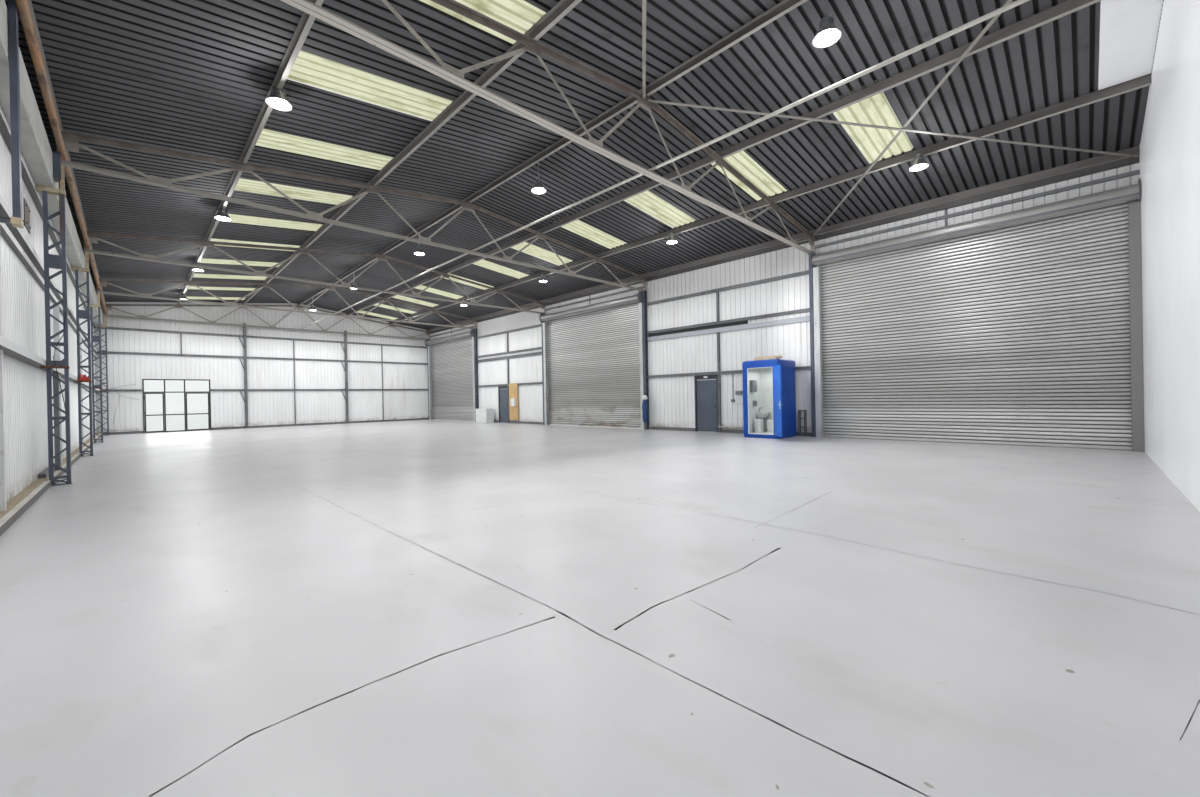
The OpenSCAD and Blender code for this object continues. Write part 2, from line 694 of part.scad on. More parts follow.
// fixed sections of the glazed screen; lights from left to right: leaf, fixed, leaf
module screen_frame() {
    d = screen_d;
    s = screen_s;
    yl = screen_y[0] + 38;
    yr = screen_y[3] - 38;
    color("black") translate([screen_x, 0, top]) {
        block([0, yl - s, 0], [d, yl, screen_h]);
        block([0, yr, 0], [d, yr + s, screen_h]);
        block([0, yr, screen_h - s], [d, yl, screen_h]);
        block([0, yr, screen_head], [d, yl, screen_head + s]);
        for (y = [screen_y[1], screen_y[2]])
            block([0, y - s / 2, 0], [d, y + s / 2, screen_h]);
        block([0, screen_y[2], 0], [d, screen_y[1], s]);
        block([0, screen_y[2], screen_rail], [d, screen_y[1], screen_rail + s]);
        translate([d + 12, yl - s - 3, 0]) rotate([0, 0, 90]) hinge_set(screen_head - 15, 14, 1, false);
        translate([d + 12, yr + s + 3, 0]) rotate([0, 0, 90]) hinge_set(screen_head - 15, 14, -1, false);
    }
}

module screen_glass() {
    s = screen_s;
    color("lightblue") translate([screen_x + screen_d / 2 - glass_t / 2, 0, top]) {
        for (g = [[screen_y[0] + 38 - s, screen_y[1] + s / 2], [screen_y[1] - s / 2, screen_y[2] + s / 2],
                  [screen_y[2] - s / 2, screen_y[3] - 38 + s]])
            block([0, g[1], screen_head + s], [glass_t, g[0], screen_h - s]);
        block([0, screen_y[2] + s / 2, screen_rail + s], [glass_t, screen_y[1] - s / 2, screen_head]);
        block([0, screen_y[2] + s / 2, s], [glass_t, screen_y[1] - s / 2, screen_rail]);
    }
}

// glazed leaf between ya and yb; hinge = 1 hangs it on its +Y edge, -1 on its -Y edge
module screen_leaf(ya, yb, hinge) {
    s = screen_s;
    h = screen_head - clear;
    d = screen_d - 16;
    pull_y = hinge > 0 ? ya + s / 2 : yb - s / 2;
    color("black") translate([screen_x + 8, 0, top]) {
        block([0, ya, clear], [d, ya + s, h]);
        block([0, yb - s, clear], [d, yb, h]);
        block([0, ya, clear], [d, yb, clear + s + 20]);
        block([0, ya, h - s], [d, yb, h]);
        block([0, ya, screen_rail], [d, yb, screen_rail + s]);
        // pull bar on each face, on two stubs
        for (f = [-46, d + 24])
            block([f, pull_y - 12, screen_rail + 80], [f + 22, pull_y + 12, screen_rail + 480]);
        for (z = [screen_rail + 80, screen_rail + 455])
            block([-46, pull_y - 12, z], [d + 46, pull_y + 12, z + 25]);
        translate([d + 20, hinge > 0 ? yb + 3 : ya - 3, 0]) rotate([0, 0, 90])
            hinge_set(screen_head - 15, 22, -hinge, true);
        block([d / 2 - glass_t / 2, ya + s - 1, clear + s + 19],
              [d / 2 + glass_t / 2, yb - s + 1, h - s + 1]);
    }
}
module screen_leaf_left() {
    screen_leaf(screen_y[1] + screen_s / 2 + clear, screen_y[0] + 38 - screen_s - clear, 1);
}
module screen_leaf_right() {
    screen_leaf(screen_y[3] - 38 + screen_s + clear, screen_y[2] - screen_s / 2 - clear, -1);
}

// near gable, smooth inside
module near_gable_wall() {
    color("white") gable_plate(-wall_x, x0);
}

// white lining board under the roof beside the near gable
module gable_lining() {
    lean = sheet_z0 * sin(roof_pitch);
    under = sheet_z0 - 18 - seat;
    edge = purlin_f / 2;
    xa = x0 + seat;
    xb = x0 + bay / 10 - 50;
    color("white") for (s = [-1, 1]) {
        slope_slab(s, edge + 12, panel - edge - 6, under, 18, xa, xb);
        slope_slab(s, panel + edge + lean + 6, 2 * panel - edge - 6, under, 18, xa, xb);
    }
}

// high-bay lamps at mid bay under the ridge and the outer purlins
module lamps() {
    color("lightgray") for (i = [0 : bays - 1], k = [-2, 0, 2]) {
        z = k == 0 ? chord_z(0) + purlin_z0 : chord_z(2 * panel) + purlin_z0;
        drop = k == 0 ? 760 : 240;
        translate([frame_x(i) + bay / 2, k * panel, z - drop]) {
            cylinder(h = 150, r1 = 190, r2 = 110, $fn = 24);
            cylinder(h = drop - (k == 0 ? 0 : 1.7), r = 14, $fn = 12);
            translate([0, 0, 140]) cylinder(h = 60, r = 80, $fn = 24);
        }
    }
}

// conduit, switch boxes and the timber board beside the far door
module service_fittings() {
    y = -right_wall_y;
    color("gray") {
        block([frame_x(1) + 2980, y, top + 1150], [frame_x(1) + 3005, y + 25, top + frame_top - 1]);
        block([frame_x(1) + 2930, y, top + 1050], [frame_x(1) + 3055, y + 80, top + 1150]);
    }
    front = y + rail_d + 24;
    color("sandybrown")
        block([board_x, y + rail_d, top + 200], [board_x + 860, front, top + door_rail + 70]);
    color("white")
        block([board_x + 140, front, top + 1000], [board_x + 520, front + 126, top + 1450]);
}

// moulded cabin: floor tray, walls with a door opening, domed cap and hinge barrels
module cabin_shell() {
    l = cabin_l;
    w = cabin_w;
    t = cabin_t;
    color("royalblue") translate([cabin_x, cabin_y - cabin_w, top]) {
        difference() {
            block([0, 0, 0], [l, w, cabin_h]);
            block([t, t, 120], [l - t, w - t, cabin_h - t]);
            block([cabin_jamb, w - t - 1, 120], [l - cabin_jamb, w + 1, cabin_h - 200]);
        }
        translate([l / 2, w / 2, cabin_h]) linear_extrude(60) square([l - 80, w - 80], center = true);
        translate([cabin_jamb - 30, w + 25, 0]) mirror([0, 1, 0]) hinge_set(cabin_h - 200, 26, -1, false);
    }
}

// leaf hinged on the jamb nearer to the first shutter, standing open
module cabin_door() {
    lw = cabin_l - 2 * cabin_jamb + 40;
    pivot = [cabin_x + cabin_jamb - 30, cabin_y + 25, top];
    color("cornflowerblue") translate(pivot) rotate([0, 0, cabin_open]) {
        block([10, -15, 132], [10 + lw, 15, cabin_h - 190]);
        for (f = [-1, 1])
            block([lw - 120, f > 0 ? 35 : -50, 900], [lw - 20, f > 0 ? 50 : -35, 930]);
        block([lw - 50, -50, 900], [lw - 20, 50, 930]);
        for (z = [200, (cabin_h - 200) / 2, cabin_h - 200 - 320])
            translate([0, 0, z + 40]) {
                cylinder(h = 39.8, r = pin_r, $fn = 24);
                block([0, -6, 0], [14, 6, 39.8]);
            }
    }
}

module cabin_basin() {
    color("white") translate([cabin_x, cabin_y - cabin_w, top]) {
        block([cabin_l - cabin_t - 330, cabin_t, 750], [cabin_l - cabin_t, cabin_t + 420, 790]);
        block([cabin_l - cabin_t - 300, cabin_t, 560], [cabin_l - cabin_t, cabin_t + 380, 750]);
        block([cabin_t, cabin_t, 120], [cabin_l - 450, cabin_t + 480, 560]);
    }
}

floor_slab();
side_kerb();
stanchions_left();
stanchion_heads();
stanchions_right();
truss_1();
truss_2();
truss_3();
truss_4();
truss_5();
purlins();
eaves_beams();
eaves_pipe();
tie_tube();
wind_bracing();
roof_sheets_left();
roof_sheets_right();
rooflights();
roof_trims();
rainwater_pipes();
side_wall_sheets();
side_wall_framing();
precast_eaves_beam();
shutter_wall_sheets();
shutter_wall_framing();
shutter_curtains();
shutter_guides();
shutter_lintels();
shutter_rolls();
door_frames();
side_door_near();
side_door_far();
end_wall_sheets();
end_wall_framing();
screen_frame();
screen_glass();
screen_leaf_left();
screen_leaf_right();
near_gable_wall();
gable_lining();
lamps();
service_fittings();
cabin_shell();
cabin_door();
cabin_basin();
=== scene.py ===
"""Looks of a single-storey steel factory hall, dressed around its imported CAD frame.

X runs along the hall, Y across it and Z up, in metres. The sizes below repeat the driving sizes of the
construction; everything else is worked out from them.
"""

import math
import random

import bmesh
import bpy
from mathutils import Matrix, Vector


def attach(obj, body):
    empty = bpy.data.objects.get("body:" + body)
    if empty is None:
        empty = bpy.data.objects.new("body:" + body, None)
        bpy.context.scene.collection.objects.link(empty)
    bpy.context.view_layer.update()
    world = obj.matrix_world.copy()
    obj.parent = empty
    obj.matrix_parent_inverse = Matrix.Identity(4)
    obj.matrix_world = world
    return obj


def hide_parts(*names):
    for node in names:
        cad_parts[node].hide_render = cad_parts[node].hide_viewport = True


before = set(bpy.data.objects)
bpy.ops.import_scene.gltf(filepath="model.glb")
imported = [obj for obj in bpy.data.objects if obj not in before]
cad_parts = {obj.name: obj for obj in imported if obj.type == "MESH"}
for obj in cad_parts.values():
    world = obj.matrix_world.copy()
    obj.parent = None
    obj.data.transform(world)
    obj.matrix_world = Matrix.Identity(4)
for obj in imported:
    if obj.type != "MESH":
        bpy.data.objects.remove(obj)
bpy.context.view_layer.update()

HALL = "hall"
SEAT = 0.0003
EDGE = 0.001

# Hall
BAYS = 5
BAY = 7.1
HALF_SPAN = 8.43
FLOOR = 0.15
EAVES_Z = 6.65
TIE_Z = 6.15
PITCH = math.radians(6.5)
SLOPE = math.tan(PITCH)
RUN = 1 / math.cos(PITCH)
X_NEAR = -BAYS * BAY / 2
X_FAR = -X_NEAR
GABLE_X = X_FAR + 0.15
PANEL = HALF_SPAN / 3
CHORD_TOP = 0.04 + SEAT
SHEET_Z0 = CHORD_TOP + 0.18 + SEAT
SIDE_WALL_Y = HALF_SPAN + 0.37
SHUTTER_WALL_Y = HALF_SPAN + 0.04
CLAD = 0.04

# Roof sheets and rooflights
SHEET_PITCH = 0.207
SHEET_COVER = 5 * SHEET_PITCH
ROOF_REACH = SIDE_WALL_Y + CLAD + 0.06
LIGHT_W = 0.93
LIGHT_PITCH = 3.0

# Wall rails
RAIL_MID = 4.16
RAIL_D = 0.09

# Shutters
SHUTTER_H = 5.65
SLAT = 0.094
SLATS_FROM = FLOOR + 0.09
SIDE_GAP = 0.077
ROLL_R = 0.165

# Doors and screen: the inner Y values are the middles of its posts, and its frame reaches past the outer ones
DOOR_XS = (X_NEAR + 1.5 * BAY + 0.07, X_NEAR + 3.5 * BAY + 0.07)
DOOR_W = 0.92
DOOR_FRAME_TOP = 2.205
SCREEN_Y = (7.07, 6.25, 5.44, 4.38)
SCREEN_OVER = 0.038
SCREEN_H = 2.84
SCREEN_HEAD = SCREEN_H - 0.725
SCREEN_RAIL = 0.9
SCREEN_S = 0.055
SCREEN_D = 0.07
CLEAR = 0.006

# Hinge barrels
PIN_R = 0.008
BARREL = 0.0398

# Cabin
CABIN_X = -10.12
CABIN_Y = -SHUTTER_WALL_Y + 0.22 + 1.29
CABIN_L = 1.27
CABIN_W = 1.29
CABIN_H = 2.48
CABIN_T = 0.04
CABIN_JAMB = 0.2
CABIN_HEADER = 0.2
CABIN_HINGES = (0.2, (CABIN_H - 0.2) / 2, CABIN_H - 0.52)
CABIN_OPEN = math.radians(129)
CABIN_PIN = Vector((CABIN_X + CABIN_JAMB - 0.03, CABIN_Y + 0.025, FLOOR))


def frame_x(i):
    return X_NEAR + i * BAY


def truss_x(i):
    return X_FAR - 0.33 if i == BAYS else frame_x(i)


def chord_z(y):
    return EAVES_Z + (HALF_SPAN - abs(y)) * SLOPE


def light_x(k):
    return frame_x(1) + (k - 1) * LIGHT_PITCH


LIGHTS = int((X_FAR - 0.6 - light_x(0)) // LIGHT_PITCH) + 1


def shutter_span(i):
    near = X_NEAR + 0.002 if i == 0 else frame_x(i) + SIDE_GAP
    far = truss_x(BAYS) - SIDE_GAP if i == BAYS - 1 else frame_x(i + 1) - SIDE_GAP
    return near, far


# Materials

def linear(hex_value):
    """sRGB hex, such as "#C8C8CA", to a linear colour with alpha."""
    channels = [int(hex_value[i:i + 2], 16) / 255 for i in (1, 3, 5)]
    return tuple(c / 12.92 if c <= 0.04045 else ((c + 0.055) / 1.055) ** 2.4 for c in channels) + (1.0,)


class Paint:
    """A material with its shader; its patterns are worked out from the place on the object."""

    def __init__(self, name, roughness, metallic=0.0, ior=1.5):
        self.material = bpy.data.materials.new(name)
        self.material.use_nodes = True
        self.tree = self.material.node_tree
        self.shader = self.tree.nodes["Principled BSDF"]
        self.put(self.shader, "Roughness", roughness)
        self.put(self.shader, "Metallic", metallic)
        if metallic < 0.5:
            self.put(self.shader, "IOR", ior)
        self.place = self.add("ShaderNodeTexCoord").outputs["Object"]

    def put(self, node, key, value):
        """Gives an input of a node a value or another node's output."""
        if isinstance(value, bpy.types.NodeSocket):
            self.tree.links.new(value, node.inputs[key])
        else:
            node.inputs[key].default_value = value

    def add(self, kind, inputs=None, **settings):
        made = self.tree.nodes.new(kind)
        for key, value in settings.items():
            setattr(made, key, value)
        for key, value in (inputs or {}).items():
            self.put(made, key, value)
        return made

    def maths(self, operation, *values):
        return self.add("ShaderNodeMath", dict(enumerate(values)), operation=operation).outputs[0]

    def axis(self, name):
        """The place along one axis of the hall."""
        return self.add("ShaderNodeSeparateXYZ", {0: self.place}).outputs[name]

    def facing(self, name):
        """1 where the surface faces along the axis, -1 where it faces against it."""
        normal = self.add("ShaderNodeNewGeometry").outputs["Normal"]
        return self.add("ShaderNodeSeparateXYZ", {0: normal}).outputs[name]

    def noise(self, size_mm, detail=4.0, stretch=(1, 1, 1)):
        """A noise whose patches are about size_mm across, drawn out along an axis where stretch is over 1."""
        scale = tuple(1 / s for s in stretch)
        scaled = self.add("ShaderNodeMapping", {"Vector": self.place, "Scale": scale}).outputs[0]
        settings = {"Vector": scaled, "Scale": 1000 / size_mm, "Detail": detail, "Roughness": 0.6}
        return self.add("ShaderNodeTexNoise", settings).outputs["Fac"]

    def ramp(self, value, low, high):
        """0 up to low, 1 from high on, smooth between; low may be the larger one."""
        return self.add("ShaderNodeMapRange", {"Value": value, "From Min": low, "From Max": high},
                        interpolation_type="SMOOTHSTEP", clamp=True).outputs[0]

    def patches(self, size_mm, low, high, detail=4.0, stretch=(1, 1, 1)):
        return self.ramp(self.noise(size_mm, detail, stretch), low, high)

    def blend(self, amount, a, b):
        a = linear(a) if isinstance(a, str) else a
        b = linear(b) if isinstance(b, str) else b
        return self.add("ShaderNodeMix", {0: amount, 6: a, 7: b}, data_type="RGBA").outputs[2]

    def base(self, amount, a, b):
        self.colour = self.blend(amount, a, b)

    def layer(self, amount, colour):
        """Lays a colour over what is there so far."""
        self.colour = self.blend(amount, self.colour, colour)

    def done(self, height=None, depth_mm=0.0, strength=1.0):
        """Puts the colour on, with a relief where a height is given."""
        self.put(self.shader, "Base Color", self.colour)
        if height is not None:
            inputs = {"Height": height, "Distance": depth_mm / 1000, "Strength": strength}
            self.put(self.shader, "Normal", self.add("ShaderNodeBump", inputs).outputs[0])
        return self.material


def varied(name, base, other, patch_mm, roughness, metallic=0.0, grit_mm=3.0, depth_mm=0.2, dirt=None,
           dirt_from=0.58, stretch=(1, 1, 1)):
    """A worn coat: two close shades in patches, dirt in scattered places and a fine grit in the surface."""
    paint = Paint(name, roughness, metallic)
    paint.base(paint.patches(patch_mm, 0.35, 0.65, stretch=stretch), base, other)
    if dirt:
        paint.layer(paint.patches(patch_mm * 0.4, dirt_from, dirt_from + 0.16, 8.0, stretch), dirt)
    return paint.done(paint.noise(grit_mm, 2.0), depth_mm)


def floor_paint():
    """Epoxy floor paint: pale grey with a soft sheen, scuffs, drips, and dust along the shutters."""
    paint = Paint("epoxy floor paint", 0.3)
    paint.base(paint.patches(1900, 0.3, 0.7, 3.0), "#BABABC", "#C4C4C6")
    paint.layer(paint.patches(520, 0.5, 1.0, 3.0, (1.6, 1, 1)), "#AEADAB")
    paint.layer(paint.maths("MULTIPLY", paint.patches(120, 0.64, 0.8, 4.0, (2, 1, 1)), 0.5), "#ABA9A6")
    across = paint.axis("Y")
    inner = paint.ramp(across, 0.12 - HALF_SPAN, 0.04 - HALF_SPAN)
    outer = paint.ramp(across, -0.05 - HALF_SPAN, -HALF_SPAN)
    dust = paint.maths("MULTIPLY", paint.maths("MULTIPLY", inner, outer), paint.patches(260, 0.3, 0.6, 6.0))
    paint.layer(dust, "#8C8072")
    patches = paint.noise(1600, 2.0)
    gloss = paint.add("ShaderNodeMapRange", {"Value": patches, "From Min": 0.3, "From Max": 0.7,
                                             "To Min": 0.31, "To Max": 0.38})
    paint.put(paint.shader, "Roughness", gloss.outputs[0])
    return paint.done(paint.noise(40, 2.0), 0.1, 0.2)


def roof_sheet_cement():
    """Fibre cement painted dark grey: matt, each sheet its own grey, and painted shade in the hollow ribs."""
    paint = Paint("painted fibre cement", 0.78)
    along = paint.axis("X")
    sheet = paint.maths("FLOOR", paint.maths("DIVIDE", along, SHEET_COVER))
    row = paint.maths("FLOOR", paint.maths("DIVIDE", paint.axis("Y"), PANEL))
    cell = paint.add("ShaderNodeCombineXYZ", {0: sheet, 1: row}).outputs[0]
    shade = paint.add("ShaderNodeTexWhiteNoise", {"Vector": cell}, noise_dimensions="3D").outputs["Value"]
    paint.base(shade, "#464649", "#535356")
    paint.layer(paint.patches(700, 0.55, 0.75, 8.0), "#3E3D3E")
    paint.layer(paint.patches(240, 0.64, 0.82, 6.0, (1, 3, 1)), "#66656A")
    rib = paint.maths("FRACT", paint.maths("DIVIDE", along, SHEET_PITCH))
    # painted shade: the hollow ribs are darkened to stand in for the shade in them
    paint.layer(paint.ramp(rib, 0.56, 0.76), "#161617")
    return paint.done(paint.noise(6, 3.0), 0.5)


def rooflight_sheet():
    """Glass-reinforced polyester: pale green-yellow, lets daylight through, with fibre grain, dirt and
    painted shade along the ribs.
    """
    paint = Paint("translucent polyester", 0.45)
    paint.base(paint.patches(60, 0.35, 0.7, 6.0, (1, 9, 1)), "#EBECDE", "#DFE1CC")
    paint.layer(paint.patches(300, 0.5, 0.78, 7.0, (1, 2.4, 1)), "#BEBEA2")
    rib = paint.maths("FRACT", paint.maths("DIVIDE", paint.axis("X"), SHEET_PITCH))
    # painted shade: darker lines along the rib flanks
    paint.layer(paint.maths("MULTIPLY", paint.ramp(rib, 0.66, 0.78), 0.45), "#B2B396")
    through = paint.add("ShaderNodeBsdfTranslucent", {"Color": paint.colour}).outputs[0]
    mixed = paint.add("ShaderNodeMixShader", {0: 0.9, 1: paint.shader.outputs[0], 2: through}).outputs[0]
    paint.put(paint.tree.nodes["Material Output"], "Surface", mixed)
    return paint.done()


def wall_sheet():
    """Coated steel sheet, white and satin, with faint runs of dirt, splashes low down and painted shade high
    up under the roof.
    """
    paint = Paint("white coated sheet", 0.42)
    height = paint.axis("Z")
    paint.base(paint.patches(900, 0.3, 0.7, 5.0, (1, 1, 2.5)), "#DEDFE0", "#E7E8E9")
    paint.layer(paint.patches(260, 0.56, 0.78, 8.0, (1, 1, 14)), "#CBC9C3")
    foot = paint.ramp(height, FLOOR + 0.45, FLOOR)
    paint.layer(paint.maths("MULTIPLY", foot, paint.patches(180, 0.3, 0.75, 8.0, (2, 2, 1))), "#8F8474")
    # painted shade: the sheets darken towards the roof
    high = paint.ramp(height, EAVES_Z - 2.1, EAVES_Z - 0.5)
    paint.layer(paint.maths("MULTIPLY", high, 0.65), "#A5A5A4")
    return paint.done(paint.noise(500, 3.0, (1, 1, 3)), 2.0, 0.4)


def smooth_lining():
    """White faced lining board on the near gable: smooth, half gloss, with shallow upright waves."""
    paint = Paint("white lining board", 0.3, ior=1.46)
    paint.base(paint.patches(1500, 0.3, 0.7), "#E0E1E3", "#E8E9EB")
    return paint.done(paint.noise(350, 3.0, (1, 1, 9)), 2.0, 0.5)


def galvanised_slats():
    """Galvanised steel slats: dull grey zinc, dark in the joints, painted shade on the lower part of each
    slat and in a belt low down, with grime low on the middle shutter.
    """
    paint = Paint("galvanised slat", 0.38, metallic=0.55)
    height = paint.axis("Z")
    slat = paint.maths("DIVIDE", paint.maths("SUBTRACT", height, SLATS_FROM), SLAT)
    up = paint.maths("FRACT", slat)
    number = paint.maths("FLOOR", slat)
    shade = paint.add("ShaderNodeTexWhiteNoise", {"W": number}, noise_dimensions="1D").outputs["Value"]
    paint.base(shade, "#C6C6C5", "#D8D8D7")
    paint.layer(paint.patches(500, 0.55, 0.9, 8.0, (9, 1, 1)), "#ABAAA7")
    # painted shade: the shutters darken in a belt between about 1 m and 4 m up, mixed with random bands of
    # tone
    painted_shade_belt = paint.maths("MULTIPLY", paint.ramp(height, 4.0, 2.2), paint.ramp(height, 1.0, 1.15))
    bands_and_painted_shade = paint.maths("MULTIPLY_ADD", paint.patches(620, 0.42, 0.62, 3.0, (14, 14, 1)), 0.4, painted_shade_belt)
    paint.layer(paint.maths("MULTIPLY", bands_and_painted_shade, 0.55), "#9A9A98")
    # painted shade: the lower part of each slat is darker
    paint.layer(paint.ramp(up, 0.42, 0.04), "#7D7C7A")
    middle = paint.ramp(paint.maths("ABSOLUTE", paint.axis("X")), 4.2, 3.9)
    foot = paint.maths("MULTIPLY", paint.ramp(height, 2.1, 0.2), middle)
    paint.layer(paint.maths("MULTIPLY", foot, paint.patches(420, 0.45, 0.7, 9.0, (3, 1, 1))), "#7D6F60")
    joint = paint.maths("ABSOLUTE", paint.maths("SUBTRACT", up, 0.5))
    paint.layer(paint.ramp(joint, 0.42, 0.47), "#3A3938")
    return paint.done(paint.noise(800, 3.0, (3, 1, 1)), 4.0, 0.5)


def truss_paint():
    """Old primer on the trusses: brown-grey on the top chords, paler and dustier on webs and ties."""
    paint = Paint("old truss primer", 0.6)
    height = paint.axis("Z")
    level = paint.maths("MULTIPLY_ADD", paint.maths("ABSOLUTE", paint.axis("Y")), SLOPE, height)
    webs = paint.blend(paint.patches(350, 0.4, 0.65, 7.0), "#85817A", "#9A958D")
    chords = paint.blend(paint.patches(300, 0.42, 0.62, 7.0), "#5E5550", "#6E6760")
    paint.base(paint.ramp(level, chord_z(0) - 0.16, chord_z(0) - 0.08), webs, chords)
    paint.layer(paint.ramp(height, TIE_Z + 0.075, TIE_Z + 0.055), "#8F8B84")
    paint.layer(paint.patches(90, 0.64, 0.74, 9.0), "#5F4536")
    return paint.done(paint.noise(9, 3.0), 0.4)


def purlin_paint():
    """Purlins: dark brown-grey webs, and the undersides of the flanges pale with painted light from below."""
    paint = Paint("purlin paint lit from below", 0.6)
    webs = paint.blend(paint.patches(600, 0.4, 0.62, 6.0, (4, 1, 1)), "#524E4D", "#625E5C")
    under = paint.blend(paint.patches(400, 0.4, 0.62, 6.0, (4, 1, 1)), "#898681", "#98958F")
    # painted light: faces that look down are paler
    paint.base(paint.ramp(paint.facing("Z"), -0.7, -0.9), webs, under)
    return paint.done(paint.noise(5, 2.0), 0.2)


def guide_zinc():
    """Zinc on the shutter guides: pale and weathered; dull as the slats on the one at the near gable."""
    paint = Paint("weathered zinc guide", 0.5, metallic=0.2)
    paint.base(paint.patches(220, 0.35, 0.65, 4.0, (1, 1, 4)), "#B4B7B8", "#C4C7C8")
    paint.layer(paint.patches(90, 0.6, 0.76, 8.0, (1, 1, 4)), "#8A8782")
    paint.layer(paint.ramp(paint.axis("X"), X_NEAR + 0.36, X_NEAR + 0.3), "#7E7E7D")
    return paint.done(paint.noise(3, 2.0), 0.2)


def rail_white():
    """White rail paint: pale grey on faces and tops, with painted shade on the undersides."""
    paint = Paint("white rail paint", 0.45)
    paint.base(paint.patches(500, 0.35, 0.65), "#C3C5C6", "#D0D1D2")
    paint.layer(paint.patches(200, 0.6, 0.76, 8.0), "#9C978E")
    # painted shade: faces that look down are dark
    paint.layer(paint.ramp(paint.facing("Z"), -0.7, -0.9), "#4A4A4B")
    return paint.done(paint.noise(3, 2.0), 0.2)


def clear_glass():
    """Float glass: clear, with a faint green."""
    paint = Paint("clear float glass", 0.02, ior=1.52)
    paint.base(paint.patches(2000, 0.3, 0.7, 1.0), "#EEF4F2", "#F2F6F5")
    paint.put(paint.shader, "Transmission Weight", 1.0)
    return paint.done()


def lamp_glow():
    """Glass of a burning high-bay lamp: white light, a little uneven over the glass."""
    paint = Paint("lit lamp glass", 0.3)
    paint.base(paint.noise(60), "#FFFFFF", "#F2F6FF")
    paint.put(paint.shader, "Emission Color", paint.colour)
    paint.put(paint.shader, "Emission Strength", 12.0)
    return paint.done()


def plywood():
    """Birch plywood board: warm yellow-brown with long grain."""
    paint = Paint("plywood", 0.55)
    grain = paint.noise(30, 6.0, (1, 1, 14))
    paint.base(paint.ramp(grain, 0.35, 0.65), "#CDAE7E", "#B59262")
    return paint.done(grain, 0.4)


def kerb_concrete():
    """Kerb: pale edging with a darker face toward the hall, and sandy dust lying between it and the wall."""
    paint = Paint("kerb concrete", 0.75)
    paint.base(paint.patches(200, 0.4, 0.6, 7.0), "#C9C7C2", "#B9B6AF")
    # faces that look toward the hall are darker
    paint.layer(paint.ramp(paint.facing("Y"), -0.6, -0.9), "#6F6D6B")
    sand = paint.blend(paint.patches(120, 0.4, 0.6, 7.0), "#A99C86", "#988A74")
    paint.layer(paint.ramp(paint.axis("Y"), HALF_SPAN + 0.243, HALF_SPAN + 0.247), sand)
    return paint.done(paint.noise(14, 5.0), 2.0)


